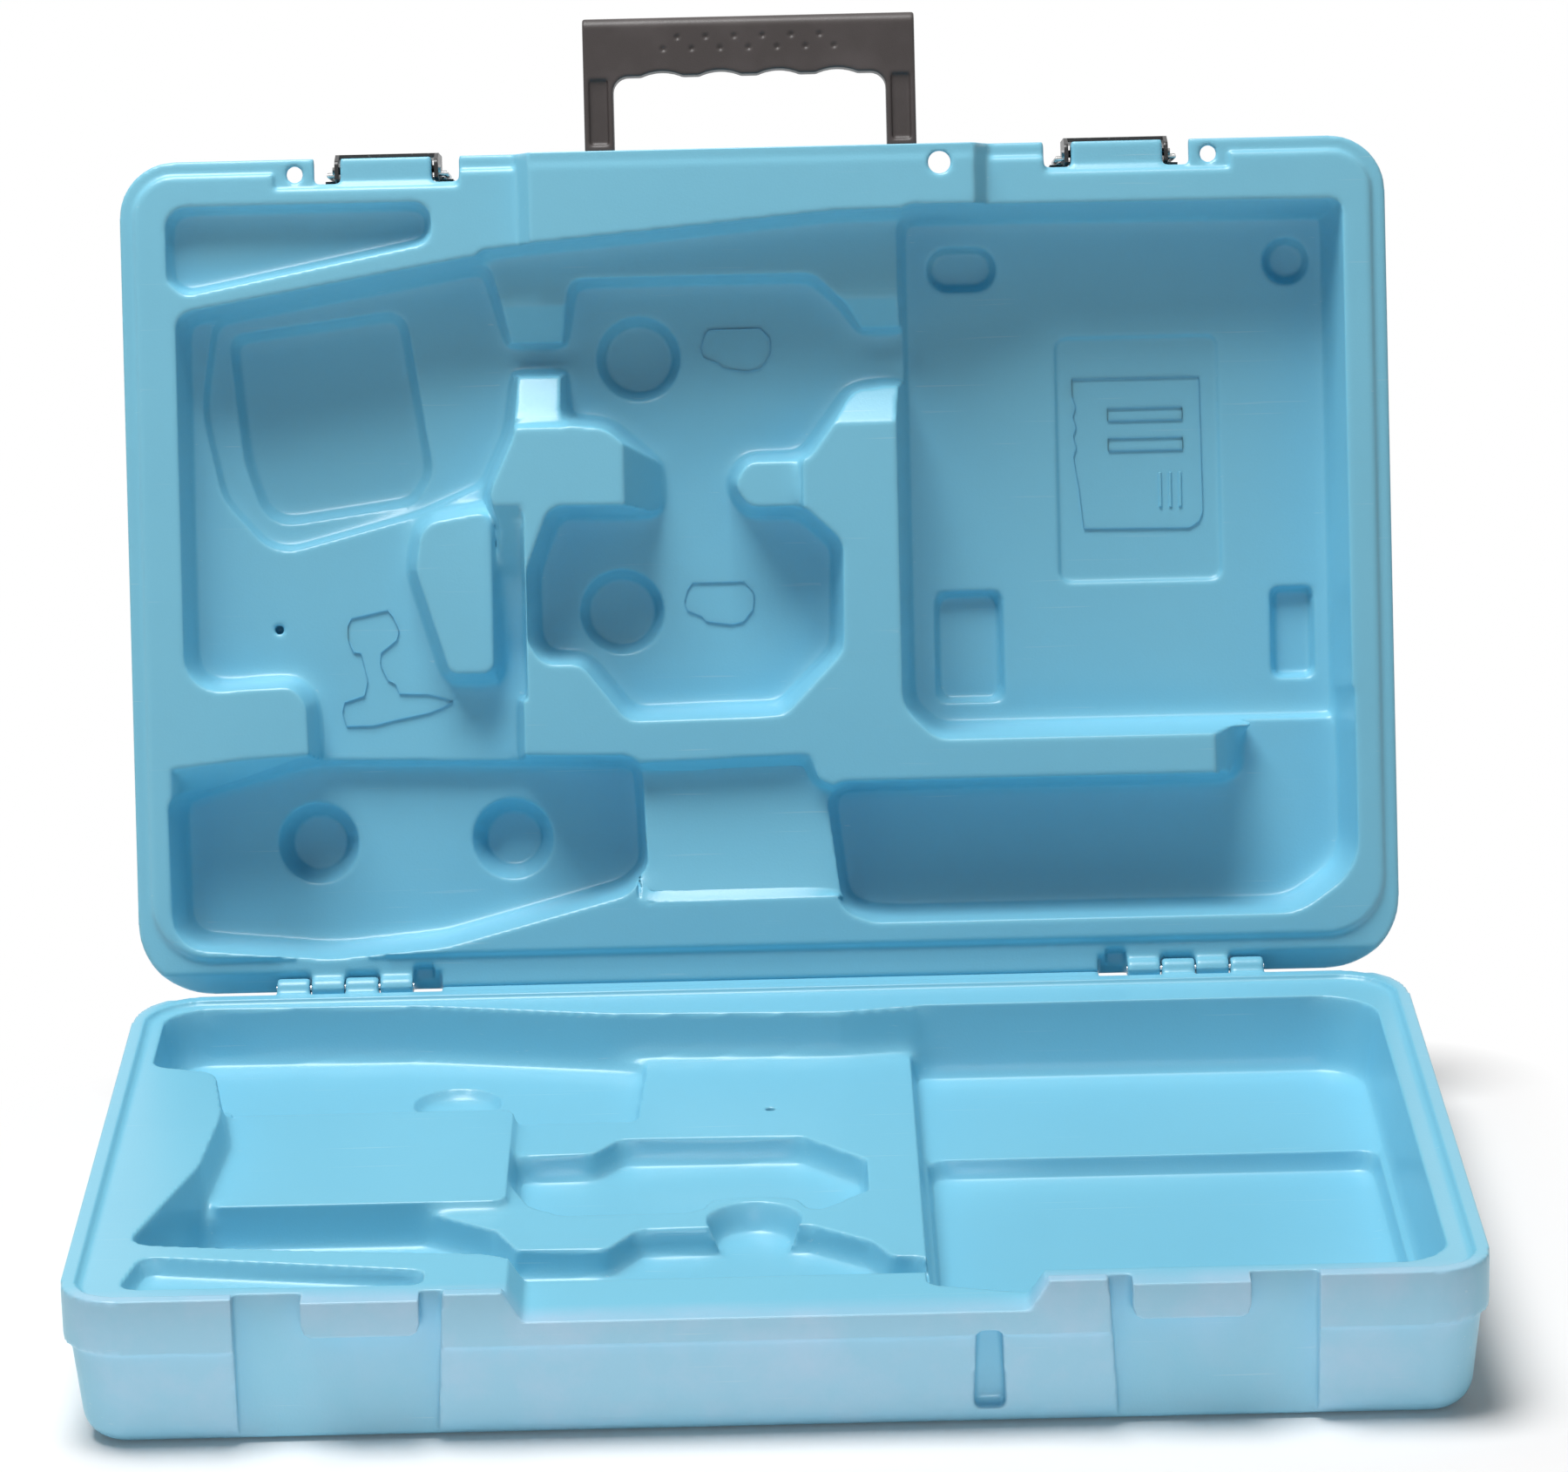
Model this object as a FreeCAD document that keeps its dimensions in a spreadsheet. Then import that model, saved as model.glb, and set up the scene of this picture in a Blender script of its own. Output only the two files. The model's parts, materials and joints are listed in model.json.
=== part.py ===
import FreeCAD, Part
import math
import os
from FreeCAD import Placement, Rotation, Vector

# Tool case, millimetres. X runs along the width, -Y is the front, +Z is up, the base stands on Z = 0.
# Everything is drawn with the lid closed; the lid and what hangs on it are then turned open.
SIZES = {
    # outer form
    "case_width": 500, "case_depth": 330, "base_height": 58, "lid_height": 58,
    "corner_front": 22, "corner_back": 29, "band_height": 20, "band_step": 2.5,
    "outer_draft": 6, "outer_round": 12,
    # rim
    "lip_height": 2, "lip_width": 5.5, "lip_gap": 0.5, "parting_gap": 0.4,
    "dip_depth": 11, "dip_half_bottom": 88, "dip_half_top": 95, "dip_reach": 40,
    "tongue_reach": 39.6, "tongue_band": 0.6,
    # pocket walls
    "pocket_draft": 7, "recess_draft": 20, "hollow_draft": 22, "finger_draft": 15, "pad_draft": 15,
    "slope_draft": 25, "cut_over": 1,
    # floors of the base, measured down from its rim
    "base_bit_groove": 10, "label_level": 17, "base_platform": 21, "base_channel": 26,
    "base_hollow": 31, "base_battery": 33, "base_charger_shelf": 33, "base_trough": 35,
    "base_charger_floor": 42,
    # floors of the lid, measured from its land
    "lid_peninsula": 5, "lid_tower": 7, "lid_pad": 10, "lid_saddle": 11, "lid_bit": 12, "lid_shelf": 16,
    "lid_tool": 26, "lid_battery": 33, "lid_trough": 34, "lid_low_left": 34, "lid_charger": 39,
    "lid_drill_floor": 41, "lid_hollow": 9, "lid_small_hollow": 6, "lid_deep_hollow": 13,
    "panel_depth": 2, "vent_radius": 2, "vent_depth": 8,
    # hinges
    "hinge_setback": 2, "open_angle": 105, "back_relief": 8.5, "hinge_inset": 54.5,
    "knuckle_radius": 4, "knuckle_width": 13.2, "knuckle_pitch": 13.6, "hinge_pin_radius": 1.5,
    "pin_gap": 0.04, "pin_slot_width": 8, "stop_clear": 3, "stop_gap": 0.3,
    # latches
    "latch_x": 144.5, "latch_recess": 10, "recess_inner": 29, "recess_outer": 44.5, "notch_outer": 28.3,
    "land_setback": 12, "flange_thick": 4, "tab_hole_x": 36, "tab_hole_in": 6, "tab_hole_radius": 3.3,
    "lid_lug_width": 36, "lid_lug_height": 15.6, "lid_lug_rise": 1, "base_lug_width": 41,
    "base_lug_top": 2, "base_lug_height": 13.5,
    "latch_pin_radius": 1.5, "latch_pin_rise": 8, "latch_pin_out": 5.5, "lever_play": 0.9,
    "lever_sheet": 1.6, "lever_cover": 0.5, "lever_start": 5, "lever_end": 30, "lever_foot": 5,
    "bail_wire": 1.1, "bail_rise": 5, "bail_out": 4, "bail_side": 1.4, "bail_hook_out": 5,
    "bail_hook_gap": 0.3, "bail_bend": 2,
    # padlock eye
    "padlock_x": 74, "padlock_in": 7.5, "padlock_radius": 4.5, "padlock_relief": 6, "padlock_deep": 14,
    "padlock_web": 7.5, "padlock_groove": 31, "padlock_groove_deep": 8,
    # handle
    "handle_width": 130.6, "handle_reach": 52, "handle_thick": 13.4, "leg_width": 11.6, "grip_depth": 23,
    "handle_pivot_in": 8, "handle_pivot_z": 56, "handle_gap": 1, "trunnion_radius": 4,
    "trunnion_length": 6, "scallop_pitch": 23, "scallop_radius": 20, "scallop_depth": 1.8,
    "grip_round": 4, "leg_panel": 1.5, "handle_corner": 6,
}

doc = FreeCAD.newDocument("tool_case")
sheet = doc.addObject("Spreadsheet::Sheet", "sizes")
for row, (alias, value) in enumerate(SIZES.items(), start=1):
    sheet.set("A%d" % row, alias)
    sheet.set("B%d" % row, str(value))
    sheet.setAlias("B%d" % row, alias)
doc.recompute()


def size(alias):
    return float(sheet.get(alias))


HALF_W = size("case_width") / 2
HALF_D = size("case_depth") / 2
FRONT = -HALF_D
BACK = HALF_D
RIM = size("base_height") - size("lip_height")
LAND = RIM + size("parting_gap")
FLANGE = size("base_height") + size("parting_gap")
TOP = size("base_height") + size("lid_height")
HINGE_Y = BACK - size("hinge_setback")
HINGE_Z = size("base_height")
HINGE_OUT = HALF_W - size("hinge_inset")


def plan(x, from_front):
    """A point of the pocket plan, which is drawn on 500 by 330 and stretches with the case."""
    return x * size("case_width") / 500, FRONT + from_front * size("case_depth") / 330


def rounded(points, radius):
    """Lines and arcs round a list of corners, each (a, b) or (a, b, own radius).

    A round stays within its two walls."""
    count = len(points)
    spots = [Vector(p[0], p[1], 0) for p in points]
    turns = []
    reach = []
    for i in range(count):
        a = (spots[i - 1] - spots[i]).normalize()
        b = (spots[(i + 1) % count] - spots[i]).normalize()
        half = a.getAngle(b) / 2
        r = points[i][2] if len(points[i]) > 2 else radius
        turns.append((a, b, half))
        reach.append(r / math.tan(half))
    limit = list(reach)
    for i in range(count):
        j = (i + 1) % count
        share = 0.98 * spots[i].distanceToPoint(spots[j]) / max(reach[i] + reach[j], 1e-9)
        if share < 1:
            limit[i] = min(limit[i], reach[i] * share)
            limit[j] = min(limit[j], reach[j] * share)
    lines = []
    starts = []
    ends = []
    for i in range(count):
        a, b, half = turns[i]
        starts.append(spots[i] + a * limit[i])
        ends.append(spots[i] + b * limit[i])
    for i in range(count):
        a, b, half = turns[i]
        if limit[i] > 1e-6:
            inner = limit[i] * math.tan(half)
            middle = (a + b).normalize()
            bend = spots[i] + middle * (inner / math.sin(half) - inner)
            lines.append(Part.Arc(starts[i], bend, ends[i]))
        lines.append(Part.LineSegment(ends[i], starts[(i + 1) % count]))
    return lines


PLANES = {
    "z": Rotation(),
    "y": Rotation(Vector(1, 0, 0), 90),
    "x": Rotation(Vector(1, 1, 1), 120),
}
OUT = {"z": Vector(0, 0, 1), "y": Vector(0, 1, 0), "x": Vector(1, 0, 0)}


def outline(name, loops, radius, along, at):
    sketch = doc.addObject("Sketcher::SketchObject", name + "_outline")
    sketch.Placement = Placement(Vector(), PLANES[along])
    for loop in loops:
        for line in rounded(loop, radius):
            sketch.addGeometry(line, False)
    sketch.setExpression("Placement.Base." + along, at)
    return sketch


def prism(name, loops, at, length, along="z", radius=0.0, taper=None, back="0", down=False):
    """Extrude closed loops from one plane, with draft if it has any."""
    solid = doc.addObject("Part::Extrusion", name)
    solid.Base = outline(name, loops, radius, along, at)
    solid.DirMode = "Custom"
    solid.Dir = OUT[along] * (-1 if down else 1)
    solid.Solid = True
    solid.setExpression("LengthFwd", length)
    solid.setExpression("LengthRev", back)
    if taper:
        solid.setExpression("TaperAngle", taper)
    doc.recompute()
    return solid


def cylinder(name, radius, length, at, axis="z"):
    rod = doc.addObject("Part::Cylinder", name)
    rod.setExpression("Radius", radius)
    rod.setExpression("Height", length)
    rod.Placement = Placement(Vector(*at), {"z": Rotation(), "x": Rotation(Vector(0, 1, 0), 90)}[axis])
    return rod


def fuse(name, solids):
    joined = doc.addObject("Part::MultiFuse", name)
    joined.Shapes = solids
    joined.Refine = True
    doc.recompute()
    return joined


def cut(name, base, *groups):
    """Take groups of tools away one after the other; the last step carries the name."""
    for number, tools in enumerate(groups, start=1):
        last = number == len(groups)
        step = doc.addObject("Part::Cut", name if last else "%s_%d" % (name, number))
        step.Base = base
        step.Tool = tools[0] if len(tools) == 1 else fuse("%s_tools_%d" % (name, number), tools)
        step.Refine = True
        doc.recompute()
        base = step
    return base


def round_level(name, solid, level, radius):
    """Round every edge of a solid that lies in the plane Z = level."""
    edges = []
    for number, edge in enumerate(solid.Shape.Edges, start=1):
        if abs(edge.BoundBox.ZMax - level) < 1e-4 and abs(edge.BoundBox.ZMin - level) < 1e-4:
            edges.append((number, size(radius), size(radius)))
    smooth = doc.addObject("Part::Fillet", name)
    smooth.Base = solid
    smooth.Edges = edges
    doc.recompute()
    return smooth


def base_pocket(name, depth, corners, radius, start=None):
    """A drafted pocket of the base, from its rim or from the floor of another pocket."""
    top = "sizes.base_height - sizes." + (start if start else "lip_height")
    length = "sizes.%s - sizes.%s" % (depth, start if start else "lip_height")
    loop = [plan(*c[:2]) + tuple(c[2:]) for c in corners]
    return prism(name, [loop], top, length, radius=radius, taper="-sizes.pocket_draft",
                 back="sizes.cut_over", down=True)


def lid_pocket(name, depth, corners, radius, start=None, draft="pocket_draft"):
    """A drafted pocket of the lid, cut upward from its land or from the floor of another pocket."""
    land = "sizes.base_height - sizes.lip_height + sizes.parting_gap"
    below = "sizes.%s" % start if start else "0"
    loop = [plan(*c[:2]) + tuple(c[2:]) for c in corners]
    return prism(name, [loop], land + " + " + below, "sizes.%s - %s" % (depth, below), radius=radius,
                 taper="-sizes." + draft, back="sizes.cut_over" if start else "sizes.dip_depth")


def lid_ramp(name, x0, x1, profile):
    """A cut across the lid between two x, along a profile of (from front, depth below the land)."""
    loop = [(plan(0, v)[1], LAND + depth) for v, depth in profile]
    return prism(name, [loop], "%g * sizes.case_width / 500" % x0, "%g * sizes.case_width / 500" % (x1 - x0),
                 along="x")


def hollow(name, start, depth, x, from_front, radius, lid, draft="hollow_draft"):
    """A round finger hollow in a pocket floor."""
    px, py = plan(x, from_front)
    level = LAND + size(start) if lid else size("base_height") - size(start)
    over = size("cut_over")
    cone = doc.addObject("Part::Cone", name)
    slope = math.tan(math.radians(size(draft)))
    cone.Radius1 = radius + slope * over
    cone.Radius2 = radius - slope * depth
    cone.Height = depth + over
    turn = Rotation() if lid else Rotation(Vector(1, 0, 0), 180)
    cone.Placement = Placement(Vector(px, py, level + (-over if lid else over)), turn)
    doc.recompute()
    return cone


def frame_loop(inset, back_extra=0.0):
    """The case outline in plan, drawn in by one inset."""
    front_r = size("corner_front") - inset
    back_r = size("corner_back") - inset
    left = -HALF_W + inset
    front = FRONT + inset
    back = BACK - inset - back_extra
    return [(left, front, front_r), (-left, front, front_r), (-left, back, back_r), (left, back, back_r)]


def both(make):
    """Make something on the left and on the right."""
    return [make("left", -1), make("right", 1)]


def mirrored(loop, sign):
    return [(sign * p[0],) + tuple(p[1:]) for p in loop]


RELIEF = size("back_relief")
BAND_LOW = size("base_height") - size("band_height")
BAND_HIGH = size("base_height") + size("band_height")

# Base: band, drafted lower wall with a rounded bottom, raised lip
base_band = prism("base_band", [frame_loop(0)], "sizes.base_height - sizes.lip_height",
                  "sizes.band_height - sizes.lip_height", down=True)
base_lower = prism("base_lower", [frame_loop(size("band_step"))], "sizes.base_height - sizes.band_height",
                   "sizes.base_height - sizes.band_height", taper="-sizes.outer_draft", down=True)
base_lower_round = round_level("base_lower_round", base_lower, 0, "outer_round")
base_lip = prism("base_lip", [frame_loop(0, RELIEF), frame_loop(size("lip_width"), RELIEF)],
                 "sizes.base_height - sizes.lip_height", "sizes.lip_height", back="sizes.cut_over")
label_corners = ((-208, 134), (-99, 134), (-99, 230), (-208, 230))
label_platform = prism("label_platform", [[plan(*c) for c in label_corners]],
                       "sizes.base_height - sizes.label_level",
                       "sizes.base_trough - sizes.label_level + sizes.cut_over", radius=4, down=True,
                       taper="sizes.pocket_draft")

base_pockets = [
    base_pocket("platform_pocket", "base_platform", [
        (-238, 312, 18), (-138, 310, 80), (-62, 295, 80), (27, 291, 60), (64, 297), (64, 37), (-92, 37),
        (-102, 43, 12), (-172, 51, 60), (-231, 60, 9), (-211, 138, 60), (-207, 192, 60), (-213, 238, 10),
        (-238, 247, 9)], 8),
    base_pocket("charger_shelf_pocket", "base_charger_shelf", [
        (52, 297), (236, 297, 24), (236, 15, 20), (92, 15, 16), (52, 26)], 8.5),
    base_pocket("charger_floor_pocket", "base_charger_floor", [
        (58, 207), (229, 207), (229, 21, 14), (90, 21, 12), (58, 31)], 8, "base_charger_shelf"),
    base_pocket("channel_pocket", "base_channel", [
        (-235.4, 309.4, 15), (-138.2, 307.5, 80), (-62.4, 292.5, 60), (-49, 288), (-52, 224), (-150, 224),
        (-206, 228), (-208, 245, 6), (-233, 256, 6)], 5, "base_platform"),
    base_pocket("trough_pocket", "base_trough", [
        (-224, 65), (-172, 57, 40), (-94, 48), (-92, 90), (-102, 114), (-129, 134.5, 3), (-204, 138),
        (-212, 128, 12)], 6, "base_platform"),
    base_pocket("front_battery_pocket", "base_battery", [
        (-108, 47), (55, 42), (55, 79), (42, 80), (35, 95), (13, 113), (-50, 112), (-61, 93), (-94, 94),
        (-108, 108)], 5.5, "base_platform"),
    base_pocket("back_battery_pocket", "base_battery", [
        (-98, 190), (-68, 191), (-58, 206), (11, 205), (35, 178), (35, 147), (17, 127, 5), (12, 130, 3),
        (8, 141, 9), (-23, 141, 9), (-27, 130, 3), (-34, 127, 5), (-78, 127, 12), (-90, 137), (-98, 160)],
        6, "base_platform"),
    base_pocket("bit_groove", "base_bit_groove", [
        (-230, 17), (-123, 15), (-123, 29), (-224, 48)], 6),
    hollow("battery_hollow", "base_platform", size("base_battery") - size("base_platform"), -7.5, 119.5, 17.5,
           False, "finger_draft"),
    hollow("channel_hollow", "base_channel", size("base_hollow") - size("base_channel"), -122, 262, 17, False),
    cylinder("base_vent", "sizes.vent_radius", "sizes.vent_depth",
             plan(-1, 235) + (size("base_height") - size("base_platform") - size("vent_depth") + 1,)),
]

dip_z = size("base_height") - size("dip_depth")
DIP = [(-size("dip_half_top"), size("base_height")), (-size("dip_half_bottom"), dip_z),
       (size("dip_half_bottom"), dip_z), (size("dip_half_top"), size("base_height"))]
dip_over = [(DIP[3][0] + 1, DIP[3][1] + 2), (DIP[0][0] - 1, DIP[0][1] + 2)]
rim_dip = prism("rim_dip", [DIP + dip_over], "-sizes.case_depth / 2 - sizes.cut_over",
                "sizes.dip_reach + sizes.cut_over", along="y")


def base_recess(side, sign):
    x = size("latch_x")
    inner = x - size("recess_inner")
    outer = x + size("recess_outer")
    loop = [(inner, size("base_height") + 2), (inner + 4, -2), (outer, -2), (outer, size("base_height") + 2)]
    return prism("base_recess_" + side, [mirrored(loop, sign)], "-sizes.case_depth / 2 - sizes.cut_over",
                 "sizes.latch_recess + sizes.cut_over", along="y")


def base_lug(side, sign):
    x = sign * size("latch_x")
    half = size("base_lug_width") / 2
    high = size("base_height") - size("base_lug_top")
    low = high - size("base_lug_height")
    loop = [(x - half, low, 4), (x + half, low, 4), (x + half, high), (x - half, high)]
    return prism("base_lug_" + side, [loop], "-sizes.case_depth / 2", "sizes.latch_recess + sizes.cut_over",
                 along="y")


def knuckles(owner, flip, first):
    """Two barrels per side with a web to their own half; flip = 1 for the lid."""
    solids = []
    s = 1 if flip else -1
    edge = BACK - RELIEF
    web = [(HINGE_Y - size("knuckle_radius"), HINGE_Z), (edge, HINGE_Z + s * 0.5), (edge, HINGE_Z + s * 3),
           (BACK - 1.5, HINGE_Z + s * (RELIEF + 1)), (BACK, HINGE_Z + s * (RELIEF + 0.5)),
           (HINGE_Y + size("knuckle_radius"), HINGE_Z + s * 0.8)]
    for sign, side in ((-1, "left"), (1, "right")):
        for k in (first, first + 2):
            outer = HINGE_OUT - k * size("knuckle_pitch")
            x0 = outer - size("knuckle_width") if sign > 0 else -outer
            tag = "%s_%s_%d" % (owner, side, k)
            barrel = cylinder("barrel_" + tag, "sizes.knuckle_radius", "sizes.knuckle_width",
                              (x0, HINGE_Y, HINGE_Z), "x")
            start = "%s(sizes.case_width / 2 - sizes.hinge_inset) %s %d * sizes.knuckle_pitch" % (
                ("", "-", k) if sign > 0 else ("-", "+", k))
            start = start + (" - sizes.knuckle_width" if sign > 0 else "")
            rib = prism("web_" + tag, [web], start, "sizes.knuckle_width", along="x")
            solids += [barrel, rib]
    return solids


def stops(owner, flip):
    """A heel between the hinges; the flat faces of both heels meet when the lid is fully open."""
    lean = math.radians((180 - size("open_angle")) / 2)
    gap = size("stop_gap") / 2
    edge = BACK - RELIEF
    low = 0.5
    near = (low - gap * math.sin(lean)) / math.cos(lean)
    far = (size("hinge_setback") + gap * math.cos(lean)) / math.sin(lean)

    def face(t):
        return (HINGE_Y - gap * math.cos(lean) + t * math.sin(lean), -gap * math.sin(lean) - t * math.cos(lean))
    loop = [(edge - 1, -low - (0.0 if flip else 2.0)), (edge + 1, -low), face(near), face(far),
            (BACK, -RELIEF - 1), (edge - 1, -RELIEF - 1)]
    s = -1 if flip else 1
    loop = [(p[0], HINGE_Z + s * p[1]) for p in loop]
    half = ("(sizes.case_width / 2 - sizes.hinge_inset - 4 * sizes.knuckle_pitch - sizes.pin_slot_width"
            " - sizes.stop_clear)")
    return [prism("stop_" + owner, [loop], "-" + half, "2 * " + half, along="x")]


def pin_bores(owner):
    length = 4 * size("knuckle_pitch") + 2
    return [cylinder("bore_%s_%s" % (owner, side), "sizes.hinge_pin_radius + sizes.pin_gap",
                     "4 * sizes.knuckle_pitch + 2", (x0, HINGE_Y, HINGE_Z), "x")
            for side, x0 in (("left", -HINGE_OUT - 1), ("right", HINGE_OUT + 1 - length))]


def relief(owner, flip):
    s = 1 if flip else -1
    z = FLANGE if flip else size("base_height")
    far = BACK + 5
    loop = [(BACK - RELIEF, z - s * 4), (BACK - RELIEF, z), (far, z + s * (RELIEF + 5)), (far, z - s * 4)]
    return prism("relief_" + owner, [loop], "-sizes.case_width / 2 - sizes.cut_over",
                 "sizes.case_width + 2 * sizes.cut_over", along="x")


padlock_x = size("padlock_x")
groove_top = dip_z - size("padlock_web")
groove_low = groove_top - size("padlock_groove")
padlock_groove = prism("padlock_groove", [[
    (padlock_x - 4.4, groove_top), (padlock_x + 4.4, groove_top), (padlock_x + 5.5, groove_low),
    (padlock_x - 5.5, groove_low)]], "-sizes.case_depth / 2 - sizes.cut_over",
    "sizes.padlock_groove_deep + sizes.cut_over + sizes.padlock_radius", along="y", radius=2)

base_raw = cut("base_raw", fuse("base_block", [base_band, base_lower_round, base_lip]),
               base_pockets[:1], base_pockets[1:] + [padlock_groove],
               [rim_dip, relief("base", 0)] + both(base_recess))
base_full = fuse("base_full", [base_raw, label_platform] + both(base_lug) + stops("base", 0)
                 + knuckles("base", 0, 0))
base_shell = cut("base_shell", base_full, pin_bores("base"))

# Lid: flange band, drafted upper wall with a rounded top, land that sits inside the base's lip, front tongue
lid_band = prism("lid_band", [frame_loop(0)], "sizes.base_height + sizes.parting_gap",
                 "sizes.band_height - sizes.parting_gap")
lid_upper = prism("lid_upper", [frame_loop(size("band_step"))], "sizes.base_height + sizes.band_height",
                  "sizes.lid_height - sizes.band_height", taper="-sizes.outer_draft")
lid_upper_round = round_level("lid_upper_round", lid_upper, TOP, "outer_round")
lid_land = prism("lid_land", [frame_loop(size("lip_width") + size("lip_gap"), RELIEF)],
                 "sizes.base_height - sizes.lip_height + sizes.parting_gap",
                 "sizes.lip_height + sizes.cut_over")
side_gap = size("lip_gap")
lift = size("parting_gap")
tongue = prism("tongue", [[
    (DIP[0][0] + side_gap, FLANGE + 1), (DIP[1][0] + side_gap, DIP[1][1] + lift),
    (DIP[2][0] - side_gap, DIP[2][1] + lift), (DIP[3][0] - side_gap, FLANGE + 1)]],
    "-sizes.case_depth / 2", "sizes.tongue_reach", along="y")
tongue_band = prism("tongue_band_cut", [[
    (-HALF_W / 2, dip_z - 1), (HALF_W / 2, dip_z - 1), (HALF_W / 2, dip_z + lift + size("tongue_band")),
    (-HALF_W / 2, dip_z + lift + size("tongue_band"))]], "-sizes.case_depth / 2 - sizes.cut_over",
    "sizes.lip_width + sizes.cut_over", along="y")

lid_pockets = [
    lid_pocket("lid_bit_pocket", "lid_bit", [
        (-232, 18, 9), (-127, 18), (-127, 34), (-225, 53, 7), (-232, 47, 6)], 7),
    lid_pocket("tool_pocket", "lid_tool", [
        (-229, 60), (-128, 43, 80), (-104, 39), (-101, 50, 12), (-92, 82, 20), (-96, 110, 20),
        (-107, 134, 12), (-102, 148, 12), (-104, 209, 5), (-95, 212, 7), (-95, 252, 7), (-180, 252, 7),
        (-181, 216), (-186, 208), (-229, 210, 14)], 8),
    lid_pocket("low_left_pocket", "lid_low_left", [
        (-237, 250, 9), (-181, 235.5, 40), (-48, 239), (-46, 284), (-56, 294, 14), (-129, 313, 60),
        (-174, 317, 60), (-236, 311, 14)], 9),
    lid_pocket("low_left_slope", "lid_low_left", [
        (-235.5, 240), (-206, 236.8), (-165, 234.8), (-165, 290), (-235.5, 290)], 0, draft="slope_draft"),
    lid_pocket("battery_pocket", "lid_battery", [
        (-75, 47), (24, 47, 12), (38, 60, 14), (44, 69, 3), (55, 69, 7), (55, 96, 7), (39, 97, 10),
        (19, 124, 10), (-4, 124, 7), (-9, 132, 5), (-4, 141, 7), (17, 141, 10), (33, 156, 10), (32, 199, 10),
        (8, 224, 10), (-54, 225, 10), (-72, 202, 8), (-87, 202, 10), (-93, 193, 8), (-93, 165, 14),
        (-83, 139, 9), (-43, 140, 5), (-38, 133, 5), (-42, 125, 8), (-60, 109, 14), (-79, 107, 7),
        (-80, 76, 8)], 8),
    lid_pocket("shelf_pocket", "lid_shelf", [
        (-112, 38), (-39, 32, 80), (30, 26, 60), (66, 25.5), (66, 77), (-72, 77), (-101, 77)], 5.5),
    lid_ramp("tooth_ramp", -106, 66, [(58.9, 16), (76, 25.8), (76, -12), (58.9, -12)]),
    lid_ramp("low_tooth_ramp_left", -104, -70, [(80, 20), (104, 7.5), (104, -12), (80, -12)]),
    lid_ramp("low_tooth_ramp_right", 28, 66, [(82, 21.6), (109, 0), (109, -12), (82, -12)]),
    lid_ramp("strip_cut", -106, -93.5, [(138, 0), (166, 17), (198, 25.8), (216, 25.8), (216, -12), (138, -12)]),
    lid_pocket("neck_left", "lid_battery", [(-112, 71), (-66, 71), (-66, 89.5), (-112, 89.5)], 4),
    lid_pocket("neck_right", "lid_battery", [(36, 68.4), (68, 68.4), (68, 96), (36, 96)], 4),
    lid_pocket("peninsula_step", "lid_peninsula", [(-14, 118), (17.3, 118), (17.3, 147), (-14, 147)], 2),
    lid_pocket("tower_cut", "lid_tower", [(-100, 70), (-72, 70), (-72, 108), (-100, 108)], 5),
    lid_pocket("charger_pocket", "lid_charger", [
        (55, 24), (233, 25, 5), (233, 235, 6), (68, 235, 14), (55, 222, 14)], 9),
    lid_pocket("trough_pocket_lid", "lid_trough", [
        (22, 251), (186.7, 251, 3), (186.7, 215, 3), (234, 215, 6), (234, 290, 24), (210, 307, 24),
        (42, 307, 12), (28, 302, 12)], 9),
    lid_pocket("divider_end", "lid_trough", [(178.5, 225), (230, 225), (230, 262), (178.5, 262)], 3,
               draft="recess_draft"),
    lid_pocket("saddle_pocket", "lid_saddle", [
        (-52, 242), (18, 240), (21, 250), (34, 256), (34, 296), (-52, 297)], 4),
    lid_pocket("drill_pocket", "lid_battery", [
        (-219, 59.2, 10), (-128, 43.8, 80), (-105, 39.9, 8), (-102, 50, 12), (-93, 82, 20), (-97, 110, 20),
        (-108, 133, 6), (-136, 145, 40), (-195, 160, 20), (-217, 135, 24), (-225, 98, 50)], 8),
    lid_pocket("drill_floor_pocket", "lid_drill_floor", [
        (-211, 68, 6), (-140, 59, 8), (-130, 125, 12), (-138, 137.5, 8), (-197, 145.5, 14), (-206, 119, 60)],
        8, "lid_battery", "recess_draft"),
    hollow("battery_hollow_front", "lid_battery", size("lid_hollow"), -47, 81, 17, True),
    hollow("battery_hollow_back", "lid_battery", size("lid_hollow"), -56, 182, 17, True),
    hollow("low_hollow_left", "lid_low_left", size("lid_deep_hollow"), -180, 272, 16.3, True),
    hollow("low_hollow_right", "lid_low_left", size("lid_deep_hollow"), -102, 272, 16.3, True),
    hollow("charger_hollow", "lid_charger", size("lid_small_hollow"), 213.3, 47.5, 9.4, True),
]


def floor_recess(name, x0, x1, v0, v1, radius, depth):
    """A small drafted recess in the charger pocket's floor."""
    loop = [plan(x0, v0), plan(x1, v0), plan(x1, v1), plan(x0, v1)]
    return prism(name, [loop], "sizes.base_height - sizes.lip_height + sizes.parting_gap + sizes.lid_charger",
                 "sizes." + depth, radius=radius, taper="-sizes.recess_draft", back="sizes.cut_over")


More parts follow.
